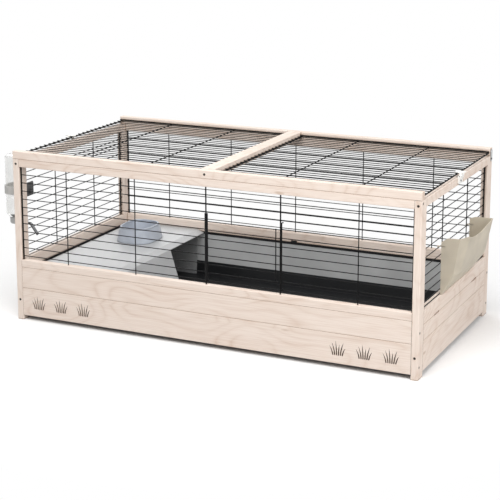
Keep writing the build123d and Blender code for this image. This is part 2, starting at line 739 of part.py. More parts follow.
def litter_tray():
    """The litter tray: drafted walls, and ribs under its floor that stand on the ground."""
    base_x, base_y = TRAY_X - TRAY_DRAFT, TRAY_Y - TRAY_DRAFT
    inner_corner = TRAY_CORNER - TRAY_WALL
    outer = loft(
        [
            rounded_face(base_x, base_y, TRAY_CORNER, TRAY_FLOOR),
            rounded_face(TRAY_X, TRAY_Y, TRAY_CORNER, TRAY_TOP),
        ]
    )
    hollow = loft(
        [
            rounded_face(TRAY_INNER_X, TRAY_INNER_Y, inner_corner, TRAY_SURFACE),
            rounded_face(TRAY_X - TRAY_WALL, TRAY_Y - TRAY_WALL, inner_corner, TRAY_TOP),
        ]
    )
    tray = outer - hollow
    half = TRAY_RIB_WIDTH / 2
    reach = base_y - TRAY_CORNER
    pitch = 2 * (base_x - 2 * TRAY_CORNER) / (TRAY_RIB_COUNT - 1)
    for n in range(TRAY_RIB_COUNT):
        x = (n - (TRAY_RIB_COUNT - 1) / 2) * pitch
        tray += block(x - half, x + half, -reach, reach, 0, TRAY_FLOOR + TRAY_WALL / 2)
    return tray


# Den and bowl


def den_block(wall):
    """The den's outer form, or its hollow when a wall is given: front, side and top view cut together."""
    bottom = TRAY_SURFACE - (1 if wall else 0)
    knee_z = DEN_TOP - DEN_BEVEL_DROP
    left_base = -TRAY_INNER_X + DEN_TRAY_GAP
    left_knee = left_base - DEN_TRAY_GAP
    right_knee = DEN_TOP_RIGHT + DEN_BEVEL_RUN
    front_view = Polyline(
        (left_base + wall, bottom),
        (left_knee + wall, knee_z - wall / 2),
        (left_knee + DEN_BEVEL_RUN + wall / 3, DEN_TOP - wall),
        (DEN_TOP_RIGHT - wall / 3, DEN_TOP - wall),
        (right_knee - wall, knee_z - wall / 2),
        (right_knee + DEN_FLARE - wall, bottom),
        close=True,
    )
    base_y = TRAY_INNER_Y - DEN_TRAY_GAP - wall
    top_y = base_y + DEN_DRAFT
    side_view = Polyline((-base_y, bottom), (-top_y, DEN_TOP), (top_y, DEN_TOP), (base_y, bottom), close=True)
    plan = rounded_face(-left_knee - wall, top_y, DEN_CORNER - wall, bottom)
    along = extrude(Plane.XZ * make_face(front_view), amount=DEPTH / 2, both=True)
    across = Pos(-LENGTH, 0, 0) * extrude(Plane.YZ * make_face(side_view), amount=LENGTH)
    return along & across & extrude(plan, amount=DEN_TOP)


def den_platform():
    """The den: a moulded shell open below, with its entrance at the back of the right side."""
    shell = den_block(0) - den_block(DEN_WALL)
    back = TRAY_INNER_Y - DEN_TRAY_GAP - DEN_WALL
    right = DEN_TOP_RIGHT + DEN_BEVEL_RUN + DEN_FLARE + 1
    head = DEN_TOP - DEN_BEVEL_DROP - DEN_WALL / 2
    return shell - block(DEN_TOP_RIGHT, right, DEN_ENTRANCE_START, back, 0, head)


def bowl_outline(draw_in, z):
    """The bowl's outline, drawn in all round, at a height above its base: its corners are round by flats."""
    corner = BOWL_CORNER - draw_in
    centre_x, centre_y = BOWL_LENGTH / 2 - BOWL_CORNER, BOWL_WIDTH / 2 - BOWL_CORNER
    points = []
    for quarter, (sx, sy) in enumerate(((1, 1), (-1, 1), (-1, -1), (1, -1))):
        for step in range(BOWL_CORNER_FLATS + 1):
            turn = math.pi / 2 * (quarter + step / BOWL_CORNER_FLATS)
            x = BOWL_X + sx * centre_x + corner * math.cos(turn)
            y = BOWL_Y + sy * centre_y + corner * math.sin(turn)
            points.append((x, y, DEN_TOP + z))
    return points


def food_bowl():
    """The food bowl: tapered and rounded, with a turned-out rim."""
    rim_foot = BOWL_HEIGHT - BOWL_RIM_HEIGHT
    outer = flat_sided(bowl_outline(BOWL_TAPER, 0), bowl_outline(0, BOWL_HEIGHT))
    rim = flat_sided(bowl_outline(-BOWL_RIM, rim_foot), bowl_outline(-BOWL_RIM, BOWL_HEIGHT))
    hollow = flat_sided(bowl_outline(BOWL_TAPER + BOWL_WALL, BOWL_WALL), bowl_outline(BOWL_WALL, BOWL_HEIGHT))
    return outer + rim - hollow


# Hay rack


def rack_form(side_view, wall):
    """A side view of the rack carried along Y, with its two outer corners bevelled."""
    near, far = RACK_NEAR + wall, RACK_FAR - wall
    form = Pos(0, far, 0) * extrude(Plane.XZ * make_face(side_view), amount=far - near)
    front = RACK_BACK + RACK_TOP_OUT - wall
    slope = RACK_BEVEL_ALONG / RACK_BEVEL_IN
    for y, step in ((near, 1), (far, -1)):
        corner = Polyline(
            (front - RACK_BEVEL_IN, y - step),
            (front - RACK_BEVEL_IN, y),
            (front + 1, y + step * (RACK_BEVEL_ALONG + slope)),
            (front + 1, y - step),
            close=True,
        )
        form -= extrude(make_face(corner), amount=HEIGHT)
    return form


def rack_shell():
    """The rack's walls: a pocket that is open above and towards the grille."""
    top = RACK_BASE + RACK_HEIGHT
    outer = Polyline(
        (RACK_BACK, RACK_BASE),
        (RACK_BACK + RACK_FOOT, RACK_BASE),
        (RACK_BACK + RACK_LOW_OUT, RACK_BASE + RACK_LOW_RISE),
        (RACK_BACK + RACK_TOP_OUT, top),
        (RACK_BACK + RACK_BEVEL_IN, top),
        (RACK_BACK, top - RACK_BACK_DROP),
        close=True,
    )
    floor = RACK_BASE + RACK_WALL
    inner = Polyline(
        (RACK_BACK - 1, floor),
        (RACK_BACK + RACK_FOOT - RACK_WALL / 2, floor),
        (RACK_BACK + RACK_LOW_OUT - RACK_WALL, floor + RACK_LOW_RISE),
        (RACK_BACK + RACK_TOP_OUT - RACK_WALL, top),
        (RACK_BACK + RACK_TOP_OUT - RACK_WALL, top + 1),
        (RACK_BACK - 1, top + 1),
        close=True,
    )
    return rack_form(outer, 0) - rack_form(inner, RACK_WALL)


def rack_dip():
    """The large cylinder that hollows the top edge of the rack's outer wall."""
    half_chord = (RACK_FAR - RACK_NEAR) / 2 - RACK_BEVEL_ALONG
    radius = (half_chord**2 + RACK_DIP**2) / (2 * RACK_DIP)
    y = (RACK_NEAR + RACK_FAR) / 2
    z = RACK_BASE + RACK_HEIGHT - RACK_DIP + radius
    return rod((RACK_BACK + RACK_LOW_OUT, y, z), (RACK_BACK + 2 * RACK_TOP_OUT, y, z), 2 * radius)


def hay_rack():
    """The hay rack, with a hook at each end over one of the grille's wires."""
    rack = rack_shell() - rack_dip()
    lip_outer = END_WELD - WELD_GAP - WIRE - FIT_GAP
    lip_inner = lip_outer - RACK_HOOK
    low = wire_height(RACK_HOOK_WIRE) + WIRE / 2 + FIT_GAP
    high = low + RACK_HOOK
    for y, step in ((RACK_NEAR, 1), (RACK_FAR, -1)):
        end = y + step * RACK_WALL
        rack += block(lip_inner, RACK_BACK + RACK_HOOK_ROOT, y, end, low, high)
        rack += block(lip_inner, lip_outer, y, end, high - RACK_HOOK_LENGTH, high)
    return rack


# Water bottle


def bottle_ring(radius, z):
    """The corners of a many-sided ring on the bottle's axis."""
    turns = [2 * math.pi * n / BOTTLE_SIDES for n in range(BOTTLE_SIDES)]
    return [(BOTTLE_X + radius * math.cos(turn), BOTTLE_Y + radius * math.sin(turn), z) for turn in turns]


def turned(*profile):
    """A form with a many-sided section, through pairs of radius and height on the bottle's axis."""
    rings = [bottle_ring(radius, z) for radius, z in profile]
    form = Part()
    for lower, upper in zip(rings, rings[1:]):
        form += flat_sided(lower, upper)
    return form


def bottle():
    """The hollow bottle with its neck below."""
    outer = turned(
        (BOTTLE_NECK_RADIUS, NECK_BOTTOM),
        (BOTTLE_NECK_RADIUS, BOTTLE_BOTTOM),
        (BOTTLE_RADIUS, BOTTLE_BOTTOM + BOTTLE_SHOULDER),
        (BOTTLE_RADIUS, BOTTLE_TOP - BOTTLE_CROWN),
        (BOTTLE_RADIUS - BOTTLE_CROWN, BOTTLE_TOP),
    )
    hollow = turned(
        (BOTTLE_NECK_RADIUS - BOTTLE_WALL, NECK_BOTTOM - 1),
        (BOTTLE_NECK_RADIUS - BOTTLE_WALL, BOTTLE_BOTTOM + BOTTLE_WALL / 2),
        (BOTTLE_RADIUS - BOTTLE_WALL, BOTTLE_BOTTOM + BOTTLE_WALL / 2 + BOTTLE_SHOULDER),
        (BOTTLE_RADIUS - BOTTLE_WALL, BOTTLE_TOP - BOTTLE_CROWN),
    )
    return outer - hollow


def nozzle_points():
    """The nozzle's route: from its socket in the cap, between two wires, and down to the tip."""
    between_wires = (wire_height(3) + wire_height(4)) / 2
    start = (BOTTLE_X + CAP_RADIUS - NOZZLE_SOCKET, BOTTLE_Y, NOZZLE_START_Z)
    bend = (-(END_WELD - 2 * WIRE), BOTTLE_Y, between_wires)
    tip = (-(END_INNER_X - NOZZLE_TIP_IN), BOTTLE_Y, NOZZLE_START_Z - NOZZLE_FALL)
    return start, bend, tip


def bottle_cap():
    """The cap round the bottle's neck, with the outlet that holds the nozzle."""
    start, bend, _ = nozzle_points()
    out = direction(start, bend)
    cap = turned((CAP_RADIUS, BOTTLE_BOTTOM - CAP_DROP), (CAP_RADIUS, BOTTLE_BOTTOM - CAP_LEDGE))
    outlet_end = tuple(Vector(*start) + out * (NOZZLE_SOCKET + CAP_OUTLET_REACH))
    cap += wire(start, outlet_end, CAP_OUTLET, NOZZLE_SIDES)
    seat = BOTTLE_NECK_RADIUS + HOLE_CLEARANCE
    cap -= turned((seat, NECK_BOTTOM - FIT_GAP), (seat, BOTTLE_BOTTOM))
    socket_end = tuple(Vector(*outlet_end) + out * HOLE_CLEARANCE)
    return cap - wire(start, socket_end, NOZZLE + 2 * HOLE_CLEARANCE, NOZZLE_SIDES)


def bottle_nozzle():
    """The bent nozzle, its bend made by two mitres, with the open mouth of its tip."""
    start, bend, tip = nozzle_points()
    first = tuple(Vector(*bend) + direction(bend, start) * NOZZLE_MITRE)
    second = tuple(Vector(*bend) + direction(bend, tip) * NOZZLE_MITRE)
    section = Plane(origin=start, z_dir=direction(start, bend)) * RegularPolygon(NOZZLE / 2, NOZZLE_SIDES)
    nozzle = sweep(section, path=Polyline(start, first, second, tip), transition=Transition.RIGHT)
    back = direction(tip, bend)
    bottom = tuple(Vector(*tip) + back * NOZZLE_MOUTH_DEPTH)
    before = tuple(Vector(*tip) - back)
    return nozzle - wire(before, bottom, NOZZLE_MOUTH, NOZZLE_SIDES)


def bottle_holder():
    """The ring round the bottle with the pad that lies against the grille."""
    top = HOLDER_BOTTOM + HOLDER_HEIGHT
    pad_x = -(HALF_L - GRILLE_RECESS + FIT_GAP)
    half = PLATE_WIDTH / 3
    inner = BOTTLE_RADIUS + FIT_GAP
    ring = turned((inner + HOLDER_WALL, HOLDER_BOTTOM), (inner + HOLDER_WALL, top))
    ring += block(BOTTLE_X, pad_x, BOTTLE_Y - half, BOTTLE_Y + half, HOLDER_BOTTOM, top)
    ring -= turned((inner, HOLDER_BOTTOM - 1), (inner, top + 1))
    return ring - wire_hole((BOTTLE_X, BOTTLE_Y, BOLT_Z), (0, BOTTLE_Y, BOLT_Z), HOLDER_BOLT)


def clamp_faces():
    """The X of the clamp plate's two faces, inside the left grille."""
    outer = -(END_WELD - WELD_GAP - WIRE - FIT_GAP)
    return outer, outer + PLATE_THICKNESS


def clamp_plate():
    """The plate inside the grille that the bolt draws against the wires."""
    x0, x1 = clamp_faces()
    z = HOLDER_BOTTOM + HOLDER_HEIGHT / 2 + PLATE_RISE
    half_y, half_z = PLATE_WIDTH / 2, PLATE_HEIGHT / 2
    plate = block(x0, x1, BOTTLE_Y - half_y, BOTTLE_Y + half_y, z - half_z, z + half_z)
    plate = chamfer(plate.edges().filter_by(Axis.X), PLATE_CORNER)
    bolt = (2 * x0, BOTTLE_Y, BOLT_Z), (0, BOTTLE_Y, BOLT_Z)
    return plate - wire_hole(*bolt, HOLDER_BOLT)


def clamp_bolt():
    """The bolt of the holder with its round knob inside the cage."""
    z = BOLT_Z
    face = clamp_faces()[1]
    start = (BOTTLE_X + BOTTLE_RADIUS + FIT_GAP + HOLE_CLEARANCE, BOTTLE_Y, z)
    knob = wire((face, BOTTLE_Y, z), (face + KNOB_HEIGHT, BOTTLE_Y, z), KNOB, KNOB_SIDES)
    return wire(start, (face, BOTTLE_Y, z), HOLDER_BOLT) + knob


def build_nodes():
    """Every node of the cage: its name and its shape."""
    nodes = {}
    for sx, end in ((-1, "left"), (1, "right")):
        nodes[f"post_front_{end}"] = post(sx, -1)
        nodes[f"post_back_{end}"] = post(sx, 1)
        nodes[f"{end}_upper_board"] = end_upper_board(sx)
        nodes[f"{end}_lower_board"] = end_lower_board(sx)
        nodes[f"{end}_top_rail"] = end_top_rail(sx)
        nodes[f"{end}_grille"] = end_grille(sx)
        nodes[f"front_grille_{end}"] = front_grille(sx)
        nodes[f"lid_grille_{end}"] = lid_grille(sx)
        nodes[f"hinge_bracket_{end}"] = hinge_bracket(sx)
        nodes[f"catch_base_{end}"] = catch_base(sx)
        nodes[f"catch_hook_{end}"] = catch_hook(sx)
        nodes[f"liner_{end}"] = end_liner(sx)
        nodes[f"liner_strip_{end}"] = end_strip(sx)
    for sy, side in ((-1, "front"), (1, "back")):
        nodes[f"{side}_upper_board"] = long_upper_board(sy)
        nodes[f"{side}_top_rail"] = long_top_rail(sy)
        nodes[f"liner_{side}"] = long_liner(sy)
        nodes[f"liner_strip_{side}"] = long_strip(sy)
    nodes["front_lower_board"] = front_lower_board()
    nodes["back_lower_board"] = long_board(1, LEG_HEIGHT)
    nodes["front_grille_top"] = door_span_wires(range(DOOR_HIGH_WIRE + 1, LONG_WIRE_COUNT))
    nodes["front_grille_sill"] = door_span_wires(range(DOOR_LOW_WIRE))
    nodes["front_door"] = front_door()
    nodes["back_grille"] = back_grille()
    nodes["lid_front_rail"] = lid_rail(-1, HALF_L)
    nodes["lid_back_rail"] = lid_back_rail()
    nodes["lid_centre_beam"] = lid_centre_beam()
    nodes["catch_pins"] = catch_pins()
    nodes["liner_clips"] = liner_clips()
    nodes["litter_tray"] = litter_tray()
    nodes["den_platform"] = den_platform()
    nodes["food_bowl"] = food_bowl()
    nodes["hay_rack"] = hay_rack()
    nodes["bottle"] = bottle()
    nodes["bottle_cap"] = bottle_cap()
    nodes["bottle_nozzle"] = bottle_nozzle()
    nodes["bottle_holder"] = bottle_holder()
    nodes["clamp_plate"] = clamp_plate()
    nodes["clamp_bolt"] = clamp_bolt()
    return nodes


if __name__ == "__main__":
    os.makedirs("parts", exist_ok=True)
    for name, shape in build_nodes().items():
        export_step(shape, f"parts/{name}.step")
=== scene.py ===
"""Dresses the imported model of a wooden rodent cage: timber, wire, plastics, screws and a studio."""

import math

import bmesh
import bpy
from bpy.props import FloatProperty, FloatVectorProperty, IntProperty, PointerProperty
from bpy.types import Operator, Panel, PropertyGroup
from mathutils import Matrix, Vector


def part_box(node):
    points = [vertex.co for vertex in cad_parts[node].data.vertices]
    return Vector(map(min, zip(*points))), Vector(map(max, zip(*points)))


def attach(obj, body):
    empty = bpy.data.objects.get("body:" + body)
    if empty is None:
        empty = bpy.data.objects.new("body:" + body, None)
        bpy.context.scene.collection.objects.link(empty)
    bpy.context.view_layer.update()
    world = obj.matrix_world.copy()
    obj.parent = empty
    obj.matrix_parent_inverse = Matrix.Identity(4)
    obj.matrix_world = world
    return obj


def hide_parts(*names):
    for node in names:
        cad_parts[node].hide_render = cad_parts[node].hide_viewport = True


bl_info = {
    "name": "Rodent Cage",
    "version": (1, 0, 0),
    "blender": (4, 5, 0),
    "location": "3D View > Sidebar > Cage",
    "description": "Finishes the timber, wire and plastics of a rodent cage and sets up its studio",
    "category": "Object",
}

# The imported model, its box, and millimetres in the frame's metres
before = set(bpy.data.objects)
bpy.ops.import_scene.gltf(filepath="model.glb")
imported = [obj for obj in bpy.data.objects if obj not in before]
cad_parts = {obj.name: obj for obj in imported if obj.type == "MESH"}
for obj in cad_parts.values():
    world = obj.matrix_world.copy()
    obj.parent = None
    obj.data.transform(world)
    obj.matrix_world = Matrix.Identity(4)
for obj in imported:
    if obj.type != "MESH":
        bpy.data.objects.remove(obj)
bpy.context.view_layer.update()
MM = 0.001
MERGE = 0.001 * MM

# Timber by the axis that its grain runs along
GRAIN_X = (
    "front_upper_board", "front_lower_board", "back_upper_board", "back_lower_board",
    "front_top_rail", "back_top_rail", "lid_front_rail", "lid_back_rail",
)
GRAIN_Y = (
    "left_upper_board", "left_lower_board", "right_upper_board", "right_lower_board",
    "left_top_rail", "right_top_rail", "lid_centre_beam",
)
POSTS = ("post_front_left", "post_front_right", "post_back_left", "post_back_right")

# Wire nodes and the body that each rides on
WIRE_BODIES = {
    "front_grille_left": "cage_frame",
    "front_grille_right": "cage_frame",
    "front_grille_top": "cage_frame",
    "front_grille_sill": "cage_frame",
    "back_grille": "cage_frame",
    "left_grille": "cage_frame",
    "right_grille": "cage_frame",
    "lid_grille_left": "lid",
    "lid_grille_right": "lid",
}

# The plane of the hay rack's back, against the right grille
RACK_BACK = 619.5 * MM

# Lamps: where each stands, what it points at and the side of its square, in metres
LAMPS = {
    "key": ((0.3, -2.0, 3.1), (0, 0, 0.2), 2.4),
    "fill": ((3.3, -1.5, 1.7), (0, 0, 0.3), 2.0),
    "back": ((-2.6, 3.0, 2.4), (0, 0, 0.25), 2.4),
}

# The floor's rings in metres, and where it turns to plain white in millimetres
FLOOR_RINGS = (0.0, 0.9, 2.0, 14.0)
FLOOR_SIDES = 96
FLOOR_FADE = (760, 1250)

# Heights of the screws, read from the photograph
BOARD_SCREW_HEIGHTS = (34 * MM, 129 * MM)
END_BOARD_SCREW_HEIGHT = 61 * MM
RAIL_SCREW_DROP = 9 * MM
SCREW_INSET = 10 * MM


def linear(code):
    """An sRGB hex colour as the linear values that shaders take."""
    parts = [int(code[i : i + 2], 16) / 255 for i in (1, 3, 5)]
    return tuple(c / 12.92 if c <= 0.04045 else ((c + 0.055) / 1.055) ** 2.4 for c in parts)


def colour(label, code, words):
    """A colour setting with its default."""
    return FloatVectorProperty(
        name=label, description=words, default=linear(code), subtype="COLOR", min=0, max=1
    )


def length(label, millimetres, words):
    """A size setting with its default."""
    return FloatProperty(
        name=label, description=words, default=millimetres * MM, subtype="DISTANCE", unit="LENGTH", min=0
    )


class CageColours(PropertyGroup):
    """The colours of the cage's finishes."""

    wood: colour("Wood", "#EFE1D6", "Pine under a thin white stain")
    wood_line: colour("Wood figure", "#CFB6A4", "Growth rings that show through the stain")
    # Wood knot, at 0.7, also colours the painted shade in the joints, and the next colour is the
    # near-black painted shade deep in the narrow cuts
    wood_knot: colour("Wood knot", "#A98769", "Small knots")
    wood_cut: colour("Wood cut", "#2C211B", "Scorched walls of the sawn tufts and slots")
    wire: colour("Wire", "#060607", "Lacquer on the grilles, the lid and the door")
    den: colour("Den", "#BFC0C1", "Moulded den and platform")
    bowl: colour("Bowl", "#AFB5BF", "Food bowl")
    liner: colour("Liner", "#BEBFBF", "Sheets that line the boards")
    trim: colour("Liner edge", "#141416", "Black strips and clips on the liner")
    tray: colour("Tray", "#17181A", "Litter tray")
    rack: colour("Rack", "#D6CDBC", "Hay rack")
    bottle: colour("Bottle", "#F3F3F2", "Clear water bottle")
    holder: colour("Bottle holder", "#E9E8E6", "Ring and pad that hold the bottle")
    cap: colour("Bottle cap", "#B9B9B8", "Cap of the water bottle")
    fitting: colour("Dark fittings", "#4A4A4B", "Clamp plate and knob")
    catch: colour("Catches", "#EFEEEA", "Lid catches")
    steel: colour("Steel", "#B9BBBD", "Pins and brackets")
    # Painted reflection: the nozzle's steel is darker than stainless steel, standing in for the dark
    # surroundings that it mirrors
    nozzle: colour("Nozzle", "#77787A", "Bent tube that the animals drink from")
    screw: colour("Screws", "#4A4642", "Burnished screws")
    floor: colour("Floor", "#FAFAFA", "Studio floor")


class CageSizes(PropertyGroup):
    """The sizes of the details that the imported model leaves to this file."""

    wire_sides: IntProperty(name="Wire sides", description="Faces round a wire", default=10, min=6, max=32)
    screw_head: length("Screw head", 7.0, "Width of a frame screw's head")
    screw_sink: length("Screw sink", 0.3, "How far a head lies under the surface")
    screw_depth: length("Screw seat", 2.0, "Depth of the seat that a head lies in")
    den_edge: length("Den edge", 3.5, "Rounding of the den's edges")
    tray_edge: length("Tray edge", 1.6, "Rounding of the tray's edges")
    rack_edge: length("Rack edge", 0.6, "Rounding of the rack's edges")
    small_edge: length("Small edge", 0.6, "Rounding of catches, brackets and the holder")
    rack_wall: length("Rack wall", 2.2, "Wall of the hay rack")
    bowl_rim: length("Bowl rim", 6.0, "Width of the food bowl's rolled rim")
    bottle_wall: length("Bottle wall", 1.5, "Wall of the bottle")
    grip_count: IntProperty(name="Grip ribs", description="Ribs round the bottle's cap", default=30, min=6)
    knob_ribs: IntProperty(name="Knob ribs", description="Ribs round the clamp's knob", default=12, min=4)


class CageStage(PropertyGroup):
    """The camera and the lamps."""

    lens: FloatProperty(name="Lens", description="Focal length", default=105.7, unit="CAMERA")
    camera_place: FloatVectorProperty(
        name="Camera",
        description="Where the camera stands",
        default=(1.773, -3.820, 1.369),
        subtype="TRANSLATION",
    )
    camera_turn: FloatProperty(
        name="Turn",
        description="Turn to the left of straight ahead",
        default=math.radians(25.05),
        subtype="ANGLE",
    )
    camera_drop: FloatProperty(
        name="Drop", description="Tilt below the horizon", default=math.radians(12.54), subtype="ANGLE"
    )
    camera_shift: FloatProperty(
        name="Shift", description="Rise of the lens that keeps uprights level", default=-0.15
    )
    room_light: FloatProperty(
        name="Room", description="Strength of the light from all round", default=0.46
    )
    key_light: FloatProperty(
        name="Key", description="Power of the large lamp", default=90.0, subtype="POWER"
    )
    back_light: FloatProperty(
        name="Back", description="Power of the lamp behind", default=58.0, subtype="POWER"
    )
    fill_light: FloatProperty(
        name="Fill", description="Power of the side lamp", default=62.0, subtype="POWER"
    )


# Meshes


def add_object(name, mesh):
    """A new object for a mesh, at the origin."""
    made = bpy.data.objects.new(name, mesh)
    bpy.context.scene.collection.objects.link(made)
    return made


def to_mesh(name, work):
    """A mesh from an edit mesh, which is freed."""
    mesh = bpy.data.meshes.new(name)
    work.to_mesh(mesh)
    work.free()
    return mesh


def plain(name, helper):
    """A helper's evaluated mesh as a plain piece. The helper is removed."""
    graph = bpy.context.evaluated_depsgraph_get()
    shown = helper.evaluated_get(graph)
    mesh = bpy.data.meshes.new_from_object(shown, preserve_all_data_layers=True, depsgraph=graph)
    bpy.data.objects.remove(helper)
    mesh.name = name
    return add_object(name, mesh)


def belong(piece, body, slot, *nodes):
    """Ties a finished piece to its body and hides the nodes that it stands for. The slot is not used."""
    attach(piece, body)
    if nodes:
        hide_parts(*nodes)
    return piece


def dress(piece, finish):
    """Gives a whole piece one finish."""
    piece.data.materials.clear()
    piece.data.materials.append(finish)
    return piece


def welded(node):
    """An edit mesh of a node with its loose triangles joined."""
    work = bmesh.new()
    work.from_mesh(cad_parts[node].data)
    bmesh.ops.remove_doubles(work, verts=work.verts, dist=MERGE)
    return work


def merged(node):
    """An edit mesh of a node with its triangles joined and its flat faces made whole."""
    work = welded(node)
    flat = math.radians(0.6)
    bmesh.ops.dissolve_limit(
        work, angle_limit=flat, verts=work.verts, edges=work.edges, delimit={"NORMAL"}
    )
    return work


def solids(node):
    """The lowest and highest corner of each separate solid in a node."""
    work = welded(node)
    waiting = set(work.verts)
    boxes = []
    while waiting:
        front = [waiting.pop()]
        corners = []
        while front:
            vert = front.pop()
            corners.append(vert.co.copy())
            for edge in vert.link_edges:
                other = edge.other_vert(vert)
                if other in waiting:
                    waiting.remove(other)
                    front.append(other)
        low = Vector(min(c[i] for c in corners) for i in range(3))
        high = Vector(max(c[i] for c in corners) for i in range(3))
        boxes.append((low, high))
    work.free()
    return boxes


def block(low, high):
    """A block's mesh between two corners, to cut with."""
    work = bmesh.new()
    bmesh.ops.create_cube(work, size=1.0)
    middle = (low + high) / 2
    size = high - low
    for vert in work.verts:
        vert.co = Vector(middle[i] + vert.co[i] * size[i] for i in range(3))
    return to_mesh("cut", work)


def carved(name, helper, cutter):
    """A plain piece: a helper less another one, which is removed."""
    taken = helper.modifiers.new("Cut", "BOOLEAN")
    taken.operation = "DIFFERENCE"
    taken.solver = "EXACT"
    taken.object = cutter
    made = plain(name, helper)
    bpy.data.objects.remove(cutter)
    return made


def softened(name, node, width, finish, limit=30.0, segments=3, cut=None):
    """A copy of a node with rounded edges, less what a cutting mesh takes away."""
    helper = add_object(name + "_start", to_mesh(name, merged(node)))
    if cut:
        helper = carved(name + "_cut", helper, add_object("cutter", cut))
    dress(helper, finish)
    helper.data.shade_smooth()
    bevel = helper.modifiers.new("Edges", "BEVEL")
    bevel.width = width
    bevel.segments = segments
    bevel.limit_method = "ANGLE"
    bevel.angle_limit = math.radians(limit)
    bevel.use_clamp_overlap = True
    normals = helper.modifiers.new("Normals", "WEIGHTED_NORMAL")
    normals.keep_sharp = True
    return plain(name, helper)


def band(work, lower, upper):
    """Adds faces between two rings that are joined end to end."""
    for i in range(len(lower)):
        j = (i + 1) % len(lower)
        work.faces.new((lower[i], lower[j], upper[j], upper[i]))


def skin(name, rings, loop=False, capped=False):
    """A mesh through rings of points. Rings of no size become poles."""
    work = bmesh.new()
    rows = [[work.verts.new(p) for p in ring] for ring in rings]
    for lower, upper in zip(rows, rows[1:]):
        band(work, lower, upper)
    if loop:
        band(work, rows[-1], rows[0])
    if capped:
        work.faces.new(rows[0])
        work.faces.new(rows[-1])
    bmesh.ops.remove_doubles(work, verts=work.verts, dist=MERGE)
    bmesh.ops.recalc_face_normals(work, faces=work.faces)
    return to_mesh(name, work)


def circle(radius, height, count, place=Matrix.Identity(4)):
    """A ring of points round the Z axis, moved to its place."""
    turns = [2 * math.pi * i / count for i in range(count)]
    return [place @ Vector((radius * math.cos(a), radius * math.sin(a), height)) for a in turns]


def turned(name, profile, place, count=48, loop=False):
    """A turned form from radius and height pairs, with its axis put in place."""
    return skin(name, [circle(r, h, count, place) for r, h in profile], loop)


def smooth(mesh, limit=35.0):
    """Shades a mesh smooth, with its sharp edges kept."""
    mesh.shade_smooth()
    mesh.set_sharp_from_angle(angle=math.radians(limit))
    return mesh


def arc(centre, radius, start, end, steps):
    """Points on an arc in a plane, as pairs. Angles are in degrees."""
    turns = [math.radians(start + (end - start) * i / steps) for i in range(steps + 1)]
    return [(centre[0] + radius * math.cos(a), centre[1] + radius * math.sin(a)) for a in turns]


def bent(points, radius, steps=6):
    """A path through points with each corner rounded."""
    path = [Vector(points[0])]
    for before, corner, after in zip(points, points[1:], points[2:]):
        middle = Vector(corner)
        back = (Vector(before) - middle).normalized()
        on = (Vector(after) - middle).normalized()
        reach = radius / math.tan(back.angle(on) / 2)
        first = middle + back * reach
        last = middle + on * reach
        for i in range(steps + 1):
            t = i / steps
            path.append(first * (1 - t) ** 2 + middle * 2 * t * (1 - t) + last * t**2)
    return path + [Vector(points[-1])]


# Node trees

MATH = "ShaderNodeMath"
VECTOR = "ShaderNodeVectorMath"
MIX = "ShaderNodeMix"
RANGE = "ShaderNodeMapRange"
BUMP = "ShaderNodeBump"
SURFACE = "ShaderNodeBsdfPrincipled"
OUTPUT = "ShaderNodeOutputMaterial"


def add(tree, kind, inputs=(), **settings):
    """Adds a node to a tree, with its settings, its values and its links.

    The inputs come by name in a dict, or in order. A node among them stands for its first output in use.
    """
    made = tree.nodes.new(kind)
    for key, value in settings.items():
        setattr(made, key, value)
    pairs = inputs.items() if isinstance(inputs, dict) else enumerate(inputs)
    for key, value in pairs:
        if isinstance(value, bpy.types.Node):
            value = next(output for output in value.outputs if output.enabled)
        if isinstance(value, bpy.types.NodeSocket):
            tree.links.new(value, made.inputs[key])
        else:
            made.inputs[key].default_value = value
    return made


def geometry_tree(name, inputs):
    """A geometry tree with its named inputs, and the outputs of its input node."""
    tree = bpy.data.node_groups.new(name, "GeometryNodeTree")
    tree.interface.new_socket("Geometry", in_out="INPUT", socket_type="NodeSocketGeometry")
    for label, kind in inputs:
        tree.interface.new_socket(label, in_out="INPUT", socket_type=kind)
    tree.interface.new_socket("Geometry", in_out="OUTPUT", socket_type="NodeSocketGeometry")
    return tree, add(tree, "NodeGroupInput").outputs


def finish_tree(tree, geometry, finish):
    """Ends a geometry tree with real geometry that carries its material."""
    real = add(tree, "GeometryNodeRealizeInstances", {"Geometry": geometry})
    painted = add(tree, "GeometryNodeSetMaterial", {"Geometry": real, "Material": finish})
    add(tree, "NodeGroupOutput", {"Geometry": painted})
    return tree


def grown(name, start, tree, values):
    """The plain piece that a geometry tree makes from a starting mesh."""
    helper = add_object(name + "_start", start)
    modifier = helper.modifiers.new(tree.name, "NODES")
    modifier.node_group = tree
    for item in tree.interface.items_tree:
        if item.in_out == "INPUT" and item.name in values:
            modifier[item.identifier] = values[item.name]
    return plain(name, helper)


def wire_tree():
    """Round drawn wire along edges, as thick as each point says."""
    inputs = (("Sides", "NodeSocketInt"), ("Finish", "NodeSocketMaterial"))
    tree, given = geometry_tree("Round wire", inputs)
    line = add(tree, "GeometryNodeMeshToCurve", {"Mesh": given["Geometry"]})
    thickness = add(tree, "GeometryNodeInputNamedAttribute", {"Name": "radius"}, data_type="FLOAT")
    ring = add(tree, "GeometryNodeCurvePrimitiveCircle", {"Resolution": given["Sides"], "Radius": 1.0})
    path = {"Curve": line, "Profile Curve": ring, "Scale": thickness, "Fill Caps": True}
    solid = add(tree, "GeometryNodeCurveToMesh", path)
    return finish_tree(tree, solid, given["Finish"])


